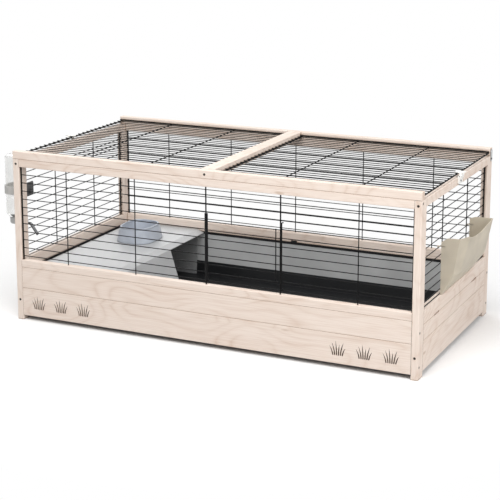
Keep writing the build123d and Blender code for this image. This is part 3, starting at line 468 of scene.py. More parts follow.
def screw_tree():
    """A copy of one head at each point, facing the way that the point says."""
    inputs = (("Head", "NodeSocketObject"), ("Finish", "NodeSocketMaterial"))
    tree, given = geometry_tree("Screw heads", inputs)
    head = add(tree, "GeometryNodeObjectInfo", {"Object": given["Head"]}).outputs["Geometry"]
    facing = add(tree, "GeometryNodeInputNamedAttribute", {"Name": "facing"}, data_type="FLOAT_VECTOR")
    turn = add(tree, "FunctionNodeAlignRotationToVector", {"Vector": facing}, axis="Z")
    put = {"Points": given["Geometry"], "Instance": head, "Rotation": turn}
    heads = add(tree, "GeometryNodeInstanceOnPoints", put)
    return finish_tree(tree, heads, given["Finish"])


def grip_tree():
    """Copies of one rib round a circle, each turned to face out."""
    inputs = (
        ("Rib", "NodeSocketObject"), ("Count", "NodeSocketInt"),
        ("Radius", "NodeSocketFloat"), ("Finish", "NodeSocketMaterial"),
    )
    tree, given = geometry_tree("Grip ribs", inputs)
    rib = add(tree, "GeometryNodeObjectInfo", {"Object": given["Rib"]}).outputs["Geometry"]
    ring = add(tree, "GeometryNodeMeshCircle", {"Vertices": given["Count"], "Radius": given["Radius"]})
    outward = add(tree, "GeometryNodeInputPosition")
    turn = add(tree, "FunctionNodeAlignRotationToVector", {"Vector": outward}, axis="X", pivot_axis="Z")
    ribs = add(tree, "GeometryNodeInstanceOnPoints", {"Points": ring, "Instance": rib, "Rotation": turn})
    both = add(tree, "GeometryNodeJoinGeometry", {"Geometry": given["Geometry"]})
    tree.links.new(ribs.outputs["Instances"], both.inputs["Geometry"])
    return finish_tree(tree, both, given["Finish"])


# Materials

# Where one board ends and the next begins in the frame, in millimetres
LEG_TOP = 14.0
BOARD_TALL = 85.0
FRONT_FACE = 300.0
LID_FOOT = 487.0

# How pine grows, in millimetres: the gap between rings, how far the heart wanders and the rings
# ripple, how much deeper the heart lies from one board seed to the next, and how far the pattern
# slides along the grain for it
RING_GAP = 6.5
HEART_WANDER = 260.0
RING_RIPPLE = 26.0
HEART_STEP = 17.0
BOARD_MIDDLE = 42.0
BOARD_SLIDE = 713.0

# What a board's row, its side of the cage and the lid add to its seed
ROW_SEED = 1.37
SIDE_SEED = 2.91
LID_SEED = 4.7


def start_material(name):
    """An empty material, its tree and the object coordinates in millimetres."""
    made = bpy.data.materials.new(name)
    made.use_nodes = True
    tree = made.node_tree
    tree.nodes.clear()
    place = add(tree, "ShaderNodeTexCoord").outputs["Object"]
    return made, tree, add(tree, VECTOR, (place, (1 / MM,) * 3), operation="MULTIPLY")


def rgba(values):
    """A colour with full opacity."""
    return (*values, 1.0)


def shade(values, factor):
    """A colour made lighter or darker, with full opacity."""
    return (*(min(1.0, v * factor) for v in values), 1.0)


def speckle(tree, place, size, stretch=(1, 1, 1), detail=3.0):
    """Noise whose cells have a real size in millimetres, stretched along the axes."""
    scale = tuple(1 / (size * s) for s in stretch)
    spread = add(tree, VECTOR, (place, scale), operation="MULTIPLY")
    return add(tree, "ShaderNodeTexNoise", {"Vector": spread, "Scale": 1.0, "Detail": detail})


def mottled(tree, pattern, first, second, span=(0.3, 0.7), shares=(0.0, 1.0)):
    """A colour that goes from one to another as a pattern goes through a span of its values.

    The shares are how much of the second colour shows at the two ends of the span.
    """
    share = add(tree, RANGE, (pattern, *span, *shares))
    return add(tree, MIX, {"Factor": share, "A": first, "B": second}, data_type="RGBA")


def along_grain(tree, place, axis):
    """Coordinates that run along the grain, across it and into the wood, for one grain axis."""
    parts = add(tree, "ShaderNodeSeparateXYZ", (place,)).outputs
    order = {"X": ("X", "Z", "Y"), "Y": ("Y", "Z", "X"), "Z": ("Z", "X", "Y")}[axis]
    return [parts[name] for name in order]


def board_seed(tree, across, depth):
    """A number that differs from board to board, worked out from where each one lies."""
    above = add(tree, MATH, (across, LEG_TOP), operation="SUBTRACT")
    boards = add(tree, MATH, (above, BOARD_TALL), operation="DIVIDE")
    row = add(tree, MATH, (boards,), operation="FLOOR")
    faces = add(tree, MATH, (depth, FRONT_FACE), operation="DIVIDE")
    side = add(tree, MATH, (faces,), operation="FLOOR")
    on_lid = add(tree, MATH, (across, LID_FOOT), operation="GREATER_THAN")
    by_row = add(tree, MATH, (row, ROW_SEED), operation="MULTIPLY")
    by_side = add(tree, MATH, (side, SIDE_SEED), operation="MULTIPLY")
    by_lid = add(tree, MATH, (on_lid, LID_SEED), operation="MULTIPLY")
    seed = add(tree, MATH, (by_row, by_side), operation="ADD")
    return add(tree, MATH, (seed, by_lid), operation="ADD")


def growth_rings(tree, wood, across, seed):
    """The dark late wood of rings round a heart that wanders behind the face."""
    wander = speckle(tree, wood, 420, (1, 0.6, 0.6), detail=1.0)
    ripple = speckle(tree, wood, 60, (2.4, 0.5, 0.5), detail=2.0)
    wandered = add(tree, MATH, (wander, 0.5), operation="SUBTRACT")
    heart = add(tree, MATH, (wandered, HEART_WANDER), operation="MULTIPLY")
    apart = add(tree, MATH, (seed, HEART_STEP), operation="MULTIPLY")
    far = add(tree, MATH, (apart, heart), operation="ADD")
    rippled = add(tree, MATH, (ripple, 0.5), operation="SUBTRACT")
    wave = add(tree, MATH, (rippled, RING_RIPPLE), operation="MULTIPLY")
    on_board = add(tree, MATH, (across, BOARD_TALL), operation="MODULO")
    off = add(tree, MATH, (on_board, wave), operation="ADD")
    centre = add(tree, MATH, (off, BOARD_MIDDLE), operation="SUBTRACT")
    wide = add(tree, MATH, (centre, 2.0), operation="POWER")
    deep = add(tree, MATH, (far, 2.0), operation="POWER")
    both = add(tree, MATH, (wide, deep), operation="ADD")
    reach = add(tree, MATH, (both,), operation="SQRT")
    ring = add(tree, MATH, (reach, RING_GAP), operation="DIVIDE")
    sawtooth = add(tree, MATH, (ring, 1.0), operation="PINGPONG")
    return add(tree, MATH, (sawtooth, 3.0), operation="POWER")


def whitewashed_pine(axis):
    """Pine boards, planed and rubbed with a thin white stain.

    The stain leaves the boards pale and matt. The rings show through as faint arches and lines,
    the pores as short streaks along the grain, and end grain drinks more stain and looks darker.
    """
    chosen = bpy.context.scene.cage_colours
    made, tree, place = start_material("Whitewashed pine, grain along " + axis)
    along, across, depth = along_grain(tree, place, axis)
    seed = board_seed(tree, across, depth)
    slide = add(tree, MATH, (seed, BOARD_SLIDE), operation="MULTIPLY")
    shifted = add(tree, MATH, (along, slide), operation="ADD")
    wood = add(tree, "ShaderNodeCombineXYZ", (shifted, across, depth))
    late = growth_rings(tree, wood, across, seed)

    # Streaks 2 mm wide and 90 mm long, drawn as coarse as they need to show
    streak = speckle(tree, wood, 2.0, (45, 1, 1), detail=2.0)
    cloud = speckle(tree, wood, 55, (4, 1, 1), detail=2.0)
    depth_of_ring = add(tree, RANGE, (cloud, 0.35, 0.7, 0.08, 0.55))
    figure = add(tree, MATH, (late, depth_of_ring), operation="MULTIPLY")
    pores = add(tree, RANGE, (streak, 0.42, 0.75, 0.0, 0.38))
    lines = add(tree, MATH, (figure, pores), operation="ADD")
    wood_mix = {"Factor": lines, "A": rgba(chosen.wood), "B": rgba(chosen.wood_line)}
    stained = add(tree, MIX, wood_mix, data_type="RGBA")
    patchy = mottled(tree, cloud, stained, shade(chosen.wood_line, 1.08), (0.3, 0.75), (0.0, 0.22))

    # Knots about 8 mm across, one in every few hundred millimetres
    knot_field = add(tree, VECTOR, (wood, (1 / 260, 1 / 70, 1 / 70)), operation="MULTIPLY")
    cells = add(tree, "ShaderNodeTexVoronoi", {"Vector": knot_field, "Scale": 1.0})
    knotted = mottled(tree, cells, patchy, rgba(chosen.wood_knot), (0.03, 0.07), (0.45, 0.0))

    # End grain, which drinks more stain; painted shade from an occlusion mask in the joints and corners,
    # and near-black painted shade deep in the narrow cuts
    normal = add(tree, "ShaderNodeTexCoord").outputs["Normal"]
    facing = add(tree, "ShaderNodeSeparateXYZ", (normal,)).outputs[axis]
    on_end = add(tree, MATH, (facing,), operation="ABSOLUTE")
    capped = mottled(tree, on_end, knotted, shade(chosen.wood_line, 0.9), (0.6, 0.9), (0.0, 0.45))
    painted_shade_mask = add(tree, "ShaderNodeAmbientOcclusion", {"Distance": 5 * MM}, samples=6).outputs["AO"]
    # Painted shade in the joints and corners
    joined = mottled(tree, painted_shade_mask, capped, shade(chosen.wood_knot, 0.7), (0.4, 0.95), (0.9, 0.0))
    # Painted shade, near black, in the narrow cuts and the tightest corners
    surface = mottled(tree, painted_shade_mask, joined, rgba(chosen.wood_cut), (0.25, 0.5), (1.0, 0.0))

    raised = add(tree, MATH, (late, 0.4), operation="MULTIPLY")
    relief = add(tree, MATH, (raised, streak), operation="ADD")
    inputs = {
        "Base Color": surface,
        "Roughness": add(tree, RANGE, (streak, 0.3, 0.7, 0.66, 0.8)),
        "IOR": 1.5,
        "Specular IOR Level": 0.35,
        "Normal": add(tree, BUMP, {"Height": relief, "Strength": 0.35, "Distance": 0.25 * MM}),
    }
    add(tree, OUTPUT, {"Surface": add(tree, SURFACE, inputs)})
    return made


def lacquered_wire():
    """Drawn steel wire, welded and dipped in black lacquer.

    The lacquer is thick and satin, with a faint orange peel and small dull patches.
    """
    chosen = bpy.context.scene.cage_colours
    made, tree, place = start_material("Black lacquered steel wire")
    peel = speckle(tree, place, 1.6)
    patch = speckle(tree, place, 22, detail=2.0)
    inputs = {
        "Base Color": mottled(tree, patch, rgba(chosen.wire), shade(chosen.wire, 1.8), (0.35, 0.7)),
        "Roughness": add(tree, RANGE, (patch, 0.3, 0.7, 0.4, 0.55)),
        "Specular IOR Level": 0.15,
        "Normal": add(tree, BUMP, {"Height": peel, "Strength": 0.2, "Distance": 0.08 * MM}),
    }
    add(tree, OUTPUT, {"Surface": add(tree, SURFACE, inputs)})
    return made


def moulded(name, base, roughness, grain, mottle, spread=1.12, scuffs=0.25, inside=1.0):
    """A moulded plastic: fine grain from the tool, slow changes of tone from the flow, and light scuffs.

    Inside is how dark the painted shade makes the enclosed side next to the open one: an occlusion mask
    darkens the colour there.
    """
    made, tree, place = start_material(name)
    texture = speckle(tree, place, grain, detail=2.0)
    flow = speckle(tree, place, mottle, detail=2.0)
    scratch = speckle(tree, place, 1.4, (24, 1.0, 3.0), detail=1.0)
    tone = mottled(tree, flow, shade(base, 1 / spread), shade(base, spread))
    scratched = add(tree, RANGE, (scratch, 0.62, 0.8))
    worn = add(tree, MATH, (scratched, scuffs), operation="MULTIPLY")
    wear = {"Factor": worn, "A": tone, "B": shade(base, spread * 1.35)}
    surface = add(tree, MIX, wear, data_type="RGBA")
    if inside < 1.0:
        # Painted shade: an occlusion mask darkens the enclosed side down to inside times the colour
        painted_shade_mask = add(tree, "ShaderNodeAmbientOcclusion", {"Distance": 220 * MM}, samples=8)
        surface = mottled(tree, painted_shade_mask.outputs["AO"], shade(base, inside), surface, (0.25, 0.72))
    inputs = {
        "Base Color": surface,
        "Roughness": add(tree, RANGE, (texture, 0.3, 0.7, roughness - 0.05, roughness + 0.08)),
        "IOR": 1.49,
        "Normal": add(tree, BUMP, {"Height": texture, "Strength": 0.25, "Distance": 0.12 * MM}),
    }
    return made, tree, add(tree, SURFACE, inputs)


def opaque_plastic(name, base, roughness, grain, mottle, **more):
    """A moulded plastic that lets no light through."""
    made, tree, shader = moulded(name, base, roughness, grain, mottle, **more)
    add(tree, OUTPUT, {"Surface": shader})
    return made


def translucent_rack():
    """Moulded polypropylene with little pigment, about 2 mm thick.

    It is sand coloured and satin, and its far wall glows where light comes through it.
    """
    chosen = bpy.context.scene.cage_colours
    made, tree, shader = moulded("Sand polypropylene", chosen.rack, 0.42, 2.0, 70.0, scuffs=0.1)
    glow = add(tree, "ShaderNodeBsdfTranslucent", {"Color": shade(chosen.rack, 1.05)})
    add(tree, OUTPUT, {"Surface": add(tree, "ShaderNodeMixShader", (0.28, shader, glow))})
    return made


def milky_holder():
    """Moulded polypropylene with no pigment: milky, so that what is behind it shows as a soft tone."""
    chosen = bpy.context.scene.cage_colours
    made, tree, shader = moulded("Milky polypropylene", chosen.holder, 0.3, 1.6, 40.0, scuffs=0.05)
    glow = add(tree, "ShaderNodeBsdfTranslucent", {"Color": rgba(chosen.holder)})
    add(tree, OUTPUT, {"Surface": add(tree, "ShaderNodeMixShader", (0.6, shader, glow))})
    return made


def clear_styrene():
    """Blown polystyrene, clear and glossy, with slow waves in its wall from the blowing."""
    chosen = bpy.context.scene.cage_colours
    made, tree, place = start_material("Clear polystyrene")
    wave = speckle(tree, place, 24, (1, 1, 2.2), detail=1.0)
    inputs = {
        "Base Color": mottled(tree, wave, rgba(chosen.bottle), shade(chosen.bottle, 0.99)),
        "Roughness": add(tree, RANGE, (wave, 0.3, 0.7, 0.02, 0.06)),
        "IOR": 1.45,
        "Transmission Weight": 1.0,
        "Normal": add(tree, BUMP, {"Height": wave, "Strength": 0.06, "Distance": 0.4 * MM}),
    }
    add(tree, OUTPUT, {"Surface": add(tree, SURFACE, inputs)})
    return made


def worked_steel(name, base, roughness, grain):
    """Steel that was drawn or pressed: fine lines along the work, and tone that changes a little."""
    made, tree, place = start_material(name)
    lines = speckle(tree, place, grain, (1, 1, 14), detail=2.0)
    patch = speckle(tree, place, 7.0, detail=2.0)
    inputs = {
        "Base Color": mottled(tree, patch, shade(base, 0.82), shade(base, 1.1)),
        "Metallic": 1.0,
        "Roughness": add(tree, RANGE, (lines, 0.3, 0.7, roughness - 0.06, roughness + 0.1)),
        "Normal": add(tree, BUMP, {"Height": lines, "Strength": 0.15, "Distance": 0.05 * MM}),
    }
    add(tree, OUTPUT, {"Surface": add(tree, SURFACE, inputs)})
    return made


def extruded_sheet(name, base, roughness):
    """Plastic sheet drawn through a die: faint lines along its length, and a satin face."""
    made, tree, place = start_material(name)
    lines = speckle(tree, place, 3.0, (40, 40, 1), detail=2.0)
    patch = speckle(tree, place, 120, detail=2.0)
    tone = mottled(tree, patch, shade(base, 0.9), shade(base, 1.08))
    inputs = {
        "Base Color": mottled(tree, lines, tone, shade(base, 0.8), (0.4, 0.75), (0.0, 0.2)),
        "Roughness": add(tree, RANGE, (lines, 0.3, 0.7, roughness - 0.05, roughness + 0.08)),
        "IOR": 1.53,
        "Normal": add(tree, BUMP, {"Height": lines, "Strength": 0.2, "Distance": 0.1 * MM}),
    }
    add(tree, OUTPUT, {"Surface": add(tree, SURFACE, inputs)})
    return made


FINISHES = {}


def finishes():
    """Every finish by name, made once."""
    chosen = bpy.context.scene.cage_colours
    if FINISHES:
        return FINISHES
    for axis in "XYZ":
        FINISHES["pine_" + axis.lower()] = whitewashed_pine(axis)
    FINISHES["wire"] = lacquered_wire()
    plastics = (
        # A spark-eroded grain: a dry satin face that hides scratches, and painted shade on the den's
        # enclosed walls
        ("den", "Grained grey polypropylene", 0.46, 1.5, 160.0, {"spread": 1.05, "inside": 0.12}),
        # From a polished tool: smoother and a little glossier than the den
        ("bowl", "Blue grey polypropylene", 0.34, 1.3, 50.0, {}),
        # Vacuum formed: a leathery grain, with scuffs from the litter scoop
        ("tray", "Black polypropylene", 0.44, 2.4, 210.0, {"spread": 1.3, "scuffs": 0.5}),
        # Hard, white, close to glossy
        ("catch", "White acetal", 0.28, 1.0, 20.0, {"spread": 1.03, "scuffs": 0.1}),
        # Milky grey and waxy
        ("cap", "Grey polyethylene", 0.4, 1.0, 18.0, {"spread": 1.05}),
        # Dark and dull, with a grip grain
        ("fitting", "Dark nylon", 0.45, 1.0, 18.0, {}),
    )
    for key, name, roughness, grain, mottle, more in plastics:
        FINISHES[key] = opaque_plastic(name, getattr(chosen, key), roughness, grain, mottle, **more)
    FINISHES["liner"] = extruded_sheet("Grey polypropylene sheet", chosen.liner, 0.42)
    FINISHES["trim"] = extruded_sheet("Black edge profile", chosen.trim, 0.38)
    FINISHES["rack"] = translucent_rack()
    FINISHES["holder"] = milky_holder()
    FINISHES["bottle"] = clear_styrene()
    FINISHES["steel"] = worked_steel("Zinc plated steel", chosen.steel, 0.3, 0.5)
    # Painted reflection: the nozzle's darkened steel stands in for the dark surroundings that it mirrors
    FINISHES["nozzle"] = worked_steel("Drawn stainless steel", chosen.nozzle, 0.24, 0.5)
    FINISHES["screw"] = worked_steel("Burnished steel", chosen.screw, 0.42, 0.6)
    return FINISHES


# Timber and its screws


def head_mesh(width):
    """A sunk screw head, facing +Z, with a cross cut in it."""
    outer = width / 2
    arm = width * 0.3
    half_arm = width * 0.075
    cut = width * 0.16
    sides = 20
    work = bmesh.new()
    rim = [work.verts.new(p) for p in circle(outer * 0.96, 0, sides)]
    skirt = [work.verts.new(p) for p in circle(outer, -outer * 0.16, sides)]
    base = [work.verts.new(p) for p in circle(outer * 0.7, -outer * 0.5, sides)]
    band(work, skirt, rim)
    band(work, base, skirt)
    work.faces.new(list(reversed(base)))
    cross = [
        (arm, -half_arm), (arm, half_arm), (half_arm, half_arm), (half_arm, arm),
        (-half_arm, arm), (-half_arm, half_arm), (-arm, half_arm), (-arm, -half_arm),
        (-half_arm, -half_arm), (-half_arm, -arm), (half_arm, -arm), (half_arm, -half_arm),
    ]
    lip = [work.verts.new((x, y, 0)) for x, y in cross]
    floor = [work.verts.new((x * 0.6, y * 0.6, -cut)) for x, y in cross]
    band(work, lip, floor)
    work.faces.new(floor)
    edges = [e for e in work.edges if e.is_boundary]
    bmesh.ops.triangle_fill(work, edges=edges, use_beauty=True)
    bmesh.ops.recalc_face_normals(work, faces=work.faces)
    return to_mesh("screw_head", work)


def screw_places():
    """Each sunk screw of the frame and the lid: node, place on the surface, and the way it faces."""
    front_low, front_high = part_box("post_front_left")
    half = {"left": front_low.x, "right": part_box("post_front_right")[1].x}
    front = front_low.y
    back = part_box("post_back_left")[1].y
    lid_low, lid_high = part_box("lid_front_rail")
    rail = front_high.z - RAIL_SCREW_DROP
    end_rail = front_high.z - RAIL_SCREW_DROP * 1.6
    places = []
    for side, out in (("left", -1), ("right", 1)):
        for end, face, forward in (("front", front, -1), ("back", back, 1)):
            node = f"post_{end}_{side}"
            for z in (*BOARD_SCREW_HEIGHTS, rail):
                spot = Vector((half[side], face - forward * SCREW_INSET, z))
                places.append((node, spot, Vector((out, 0, 0))))
            for z in (END_BOARD_SCREW_HEIGHT, end_rail):
                spot = Vector((half[side] - out * SCREW_INSET, face, z))
                places.append((node, spot, Vector((0, forward, 0))))
    middle = (lid_low.z + lid_high.z) / 2
    places.append(("lid_front_rail", Vector((0, front, middle)), Vector((0, -1, 0))))
    places.append(("lid_back_rail", Vector((0, back, middle)), Vector((0, 1, 0))))
    return places


def point_mesh(name, places, lift):
    """A mesh of loose points that carry the way each one faces."""
    mesh = bpy.data.meshes.new(name)
    mesh.from_pydata([spot + facing * lift for spot, facing in places], [], [])
    ways = mesh.attributes.new("facing", "FLOAT_VECTOR", "POINT")
    ways.data.foreach_set("vector", [c for _, facing in places for c in facing])
    return mesh


def screws(name, body, places, head, lift, finish):
    """One piece with a head at each place."""
    values = {"Head": head, "Finish": finish}
    made = grown(name, point_mesh(name + "_points", places, lift), screw_tree(), values)
    return belong(made, body, "steel")


def sunk(node, places, finish, body):
    """A timber piece with a round seat cut for each of its screws."""
    sizes = bpy.context.scene.cage_sizes
    radius = sizes.screw_head / 2 + 0.2 * MM
    profile = [(0, -sizes.screw_depth), (radius, -sizes.screw_depth), (radius, MM), (0, MM)]
    form = add_object("seat_form", turned("seat", profile, Matrix.Identity(4), 24))
    values = {"Head": form, "Finish": finish}
    seats = grown("seats", point_mesh("seat_points", places, 0), screw_tree(), values)
    piece = dress(add_object(node + "_start", to_mesh(node, merged(node))), finish)
    made = dress(carved(node + "_timber", piece, seats), finish)
    bpy.data.objects.remove(form)
    return belong(made, body, "whitewashed_wood", node)


class CAGE_OT_timber(Operator):
    """Finish the boards, posts and rails, cut the screws' seats and set the screws"""

    bl_idname = "cage.timber"
    bl_label = "Timber and Screws"

    def execute(self, context):
        finish = finishes()
        sizes = context.scene.cage_sizes
        places = screw_places()
        sunk_nodes = {node for node, _, _ in places}
        groups = ((GRAIN_X, "pine_x"), (GRAIN_Y, "pine_y"), (POSTS, "pine_z"))
        for names, grain in groups:
            for name in names:
                if name in sunk_nodes:
                    own = [(spot, facing) for node, spot, facing in places if node == name]
                    body = "lid" if name.startswith("lid") else "cage_frame"
                    sunk(name, own, finish[grain], body)
                else:
                    dress(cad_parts[name], finish[grain])
        head = add_object("head_form", head_mesh(sizes.screw_head))
        for name, body, on_lid in (("frame_screws", "cage_frame", False), ("beam_screws", "lid", True)):
            own = [(s, f) for node, s, f in places if node.startswith("lid") == on_lid]
            screws(name, body, own, head, -sizes.screw_sink, finish["screw"])
        bpy.data.objects.remove(head)
        return {"FINISHED"}


# Wire


def wire_mesh(name, lines):
    """A mesh of paths whose points carry the wire's radius. Each line is its points and its radii."""
    mesh = bpy.data.meshes.new(name)
    points = []
    edges = []
    radii = []
    for path, thickness in lines:
        start = len(points)
        points += path
        radii += thickness
        edges += [(start + i, start + i + 1) for i in range(len(path) - 1)]
    mesh.from_pydata(points, edges, [])
    mesh.attributes.new("radius", "FLOAT", "POINT").data.foreach_set("value", radii)
    return mesh


def straight_wires(node):
    """The straight wires of a node as lines with their radii. Bent ones are left out."""
    lines = []
    for low, high in solids(node):
        size = high - low
        axis = max(range(3), key=lambda i: size[i])
        thin, thick = sorted(size[i] for i in range(3) if i != axis)
        if thick > 1.5 * thin:
            continue
        start = (low + high) / 2
        end = start.copy()
        start[axis] = low[axis]
        end[axis] = high[axis]
        lines.append(([start, end], [thick / 2] * 2))
    return lines


def draw_wires(name, lines, body, *nodes):
    """A piece of round wire that stands for its nodes."""
    values = {"Sides": bpy.context.scene.cage_sizes.wire_sides, "Finish": finishes()["wire"]}
    made = grown(name, wire_mesh(name + "_lines", lines), wire_tree(), values)
    smooth(made.data, 50)
    return belong(made, body, "black_wire", *nodes)


class CAGE_OT_wire(Operator):
    """Draw the grilles and the lid panels as round lacquered wire"""

    bl_idname = "cage.wire"
    bl_label = "Grilles and Lid Panels"

    def execute(self, context):
        for node, body in WIRE_BODIES.items():
            draw_wires(node + "_wire", straight_wires(node), body, node)
        return {"FINISHED"}


class CAGE_OT_door(Operator):
    """Draw the wire door, with its hinge loops and the bent ends of its free rod"""

    bl_idname = "cage.door"
    bl_label = "Wire Door"

    def execute(self, context):
        low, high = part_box("front_door")
        lines = straight_wires("front_door")
        rod = 1.5 * MM
        # The hinge loops: their wire, their radius round the grille's rod, and the height of a coil
        wire = 0.9 * MM
        loop = 3.0 * MM
        coil = 5.4 * MM
        steps = 66
        # The hinge rod, the plane of the grille's rod, and the free rod at the other end
        hinge_x = 4.06 * MM
        rod_y = -314.0 * MM
        upright_y = -313.5 * MM
        free_x = high.x - 5.0 * MM
        ring_low = low.z + 1.5 * MM
        ring_high = high.z - 1.5 * MM
        for z, on in ((ring_low, 1), (ring_high, -1)):
            turns = arc((0, upright_y), loop, -1020, -12, steps)
            rise = [on * coil * (1 - i / steps) for i in range(steps + 1)]
            ring = [Vector((x, y, z + up)) for (x, y), up in zip(turns, rise)]
            tail = bent([ring[-1], (hinge_x, rod_y, z), (hinge_x, rod_y, z + on * 6 * MM)], 0.8 * MM)
            path = ring[:-1] + tail
            thin = len(ring) + 4
            lines.append((path, [wire] * thin + [rod] * (len(path) - thin)))
        upright = [Vector((hinge_x, rod_y, z)) for z in (ring_low + 5 * MM, ring_high - 5 * MM)]
        lines.append((upright, [rod, rod]))
        corners = [(high.x, ring_low), (free_x, ring_low), (free_x, ring_high), (high.x, ring_high)]
        path = bent([(x, rod_y, z) for x, z in corners], 2.4 * MM)
        lines.append((path, [rod] * len(path)))
        draw_wires("front_door_wire", lines, "door", "front_door")
        return {"FINISHED"}


# Inside


class CAGE_OT_inside(Operator):
    """Finish the tray, the liner with its strips and clips, and the den"""

    bl_idname = "cage.inside"
    bl_label = "Tray, Liner and Den"

    def execute(self, context):
        finish = finishes()
        sizes = context.scene.cage_sizes
        for side in ("front", "back", "left", "right"):
            dress(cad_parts["liner_" + side], finish["liner"])
            dress(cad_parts["liner_strip_" + side], finish["trim"])
        dress(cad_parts["liner_clips"], finish["trim"])
        tray = softened("tray_shell", "litter_tray", sizes.tray_edge, finish["tray"])
        belong(tray, "tray", "black_plastic", "litter_tray")
        # The entrance runs out at the back, so the narrow strip of wall beside it is cut away
        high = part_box("den_platform")[1]
        strip_high = Vector((high.x + MM, high.y + MM, high.z - 10.5 * MM))
        opening = block(Vector((-340 * MM, 284 * MM, 0)), strip_high)
        den = softened("den_shell", "den_platform", sizes.den_edge, finish["den"], 12, 4, opening)
        belong(den, "den", "grey_plastic", "den_platform")
        return {"FINISHED"}


def oval(middle, half_x, half_y, height):
    """A ring of points round a soft rectangle."""
    count = 72
    softness = 2 / 3
    ring = []
    for i in range(count):
        turn = 2 * math.pi * i / count
        c = math.cos(turn)
        s = math.sin(turn)
        x = math.copysign(abs(c) ** softness, c) * half_x
        y = math.copysign(abs(s) ** softness, s) * half_y
        ring.append(Vector((middle.x + x, middle.y + y, height)))
    return ring


class CAGE_OT_bowl(Operator):
    """Build the food bowl: a dish with a rolled rim and a broad foot that keeps it from tipping"""

    bl_idname = "cage.bowl"
    bl_label = "Food Bowl"

    def execute(self, context):
        low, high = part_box("food_bowl")
        middle = (low + high) / 2
        half = (high - low) / 2 + Vector((4 * MM, 3 * MM, 0))
        depth = high.z - low.z
        rim = context.scene.cage_sizes.bowl_rim
        rim_in = 9 * MM
        hollow = rim_in + rim
        # How far each ring is drawn in from the foot, and its height above the foot, from below
        under = ((16, 1.5), (13, 0), (2, 0), (0.4, 0.8), (0, 3), (0.6, 6), (2, 11))
        within = ((3, 14), (6, 8), (12, 5.2), (21, 4.5))
        steps = [(half.x, 1.5 * MM)]
        steps += [(inset * MM, rise * MM) for inset, rise in under]
        steps.append((rim_in - 3 * MM, depth - 2.2 * rim))
        for degrees in range(-60, 241, 30):
            t = math.radians(degrees)
            inset = rim_in + rim / 2 - rim / 2 * math.cos(t)
            steps.append((inset, depth - rim / 2 + rim / 2 * math.sin(t)))
        steps.append((hollow + 0.5 * MM, depth - 2 * rim))
        steps += [(hollow + inset * MM, rise * MM) for inset, rise in within]
        steps.append((half.x, 4.5 * MM))
        rings = []
        for inset, rise in steps:
            reach_x = max(half.x - inset, 0)
            reach_y = max(half.y - inset, 0) if inset < half.x else 0
            rings.append(oval(middle, reach_x, reach_y, low.z + rise))
        bowl = add_object("bowl_dish", smooth(skin("bowl_dish", rings)))
        dress(bowl, finishes()["bowl"])
        belong(bowl, "bowl", "blue_grey_plastic", "food_bowl")
        return {"FINISHED"}


# Outside


def rack_column(share, lean, along, tops):
    """One column of the rack's wall: its points at the foot, the knee and the top edge.

    Share is how far out the column stands, along is where it is from the near end to the far end,
    lean is how fast the near end recedes, and tops is how far the top edge dips.
    """
    low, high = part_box("hay_rack")
    heights = (low.z, low.z + 58 * MM, high.z - tops)
    column = []
    for out, z in zip((5 * MM, 47 * MM, 68 * MM), heights):
        start = low.y + lean * out
        column.append(Vector((RACK_BACK + out * share, start + (high.y - start) * along, z)))
    return column


def rack_wall():
    """The rack's wall as one sheet: near end, its bevel, the outer wall with its dip, and far end."""
    bevel_in = 0.235
    bevel_along = 0.59
    dip = 12 * MM
    drop = 13 * MM
    spans = 14
    near = ((0, drop), (0.25, MM), (0.5, 0), (1 - bevel_in, 0))
    far = ((0.5, 0), (0.25, MM), (0, drop / 2))
    columns = [rack_column(share, 0, 0, top) for share, top in near]
    for i in range(spans + 1):
        t = i / spans
        columns.append(rack_column(1, bevel_along, t, dip * math.sin(math.pi * t**0.7)))
    columns += [rack_column(share, 0, 1, top) for share, top in far]
    work = bmesh.new()
    rows = [[work.verts.new(p) for p in column] for column in columns]
    for left, right in zip(rows, rows[1:]):
        for i in range(2):
            work.faces.new((left[i], right[i], right[i + 1], left[i + 1]))
    work.faces.new([row[0] for row in reversed(rows)])
    bmesh.ops.remove_doubles(work, verts=work.verts, dist=MERGE)
    bmesh.ops.recalc_face_normals(work, faces=work.faces)
    return to_mesh("rack_wall", work)


def rack_hook(y, step):
    """A hook that reaches over the grille's wire from one end of the rack."""
    low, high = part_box("hay_rack")
    thick = 3 * MM
    root = RACK_BACK + 12 * MM
    under = high.z - 26.25 * MM
    tip = under - 8 * MM + thick
    top = under + thick
    side_view = [
        (low.x, tip), (low.x + thick, tip), (low.x + thick, under),
        (root, under), (root, top), (low.x, top),
    ]
    rings = [[(x, along, z) for x, z in side_view] for along in (y, y + step * 2.2 * MM)]
    return skin("rack_hook", rings, capped=True)


def edged(name, mesh, width, wall=0.0):
    """A plain piece with a wall, if one is asked for, and small round edges."""
    helper = add_object(name + "_start", mesh)
    helper.data.shade_smooth()
    if wall:
        solid = helper.modifiers.new("Wall", "SOLIDIFY")
        solid.thickness = wall
        solid.offset = -1
        solid.use_even_offset = True
    bevel = helper.modifiers.new("Edges", "BEVEL")
    bevel.width = width
    bevel.segments = 2
    bevel.limit_method = "ANGLE"
    bevel.angle_limit = math.radians(14)
    helper.modifiers.new("Normals", "WEIGHTED_NORMAL")
    return plain(name, helper)


class CAGE_OT_rack(Operator):
    """Build the hay rack: a thin pocket with a bevelled near end, a dipped edge and two hooks"""

    bl_idname = "cage.rack"
    bl_label = "Hay Rack"

    def execute(self, context):
        sizes = context.scene.cage_sizes
        finish = finishes()["rack"]
        wall = edged("rack_shell", rack_wall(), sizes.rack_edge, wall=sizes.rack_wall)
        belong(dress(wall, finish), "rack", "sand_plastic", "hay_rack")
        low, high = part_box("hay_rack")
        for name, y, step in (("near", low.y, 1), ("far", high.y, -1)):
            hook = edged("rack_hook_" + name, rack_hook(y, step), sizes.rack_edge)
            belong(dress(hook, finish), "rack", "sand_plastic")
        return {"FINISHED"}


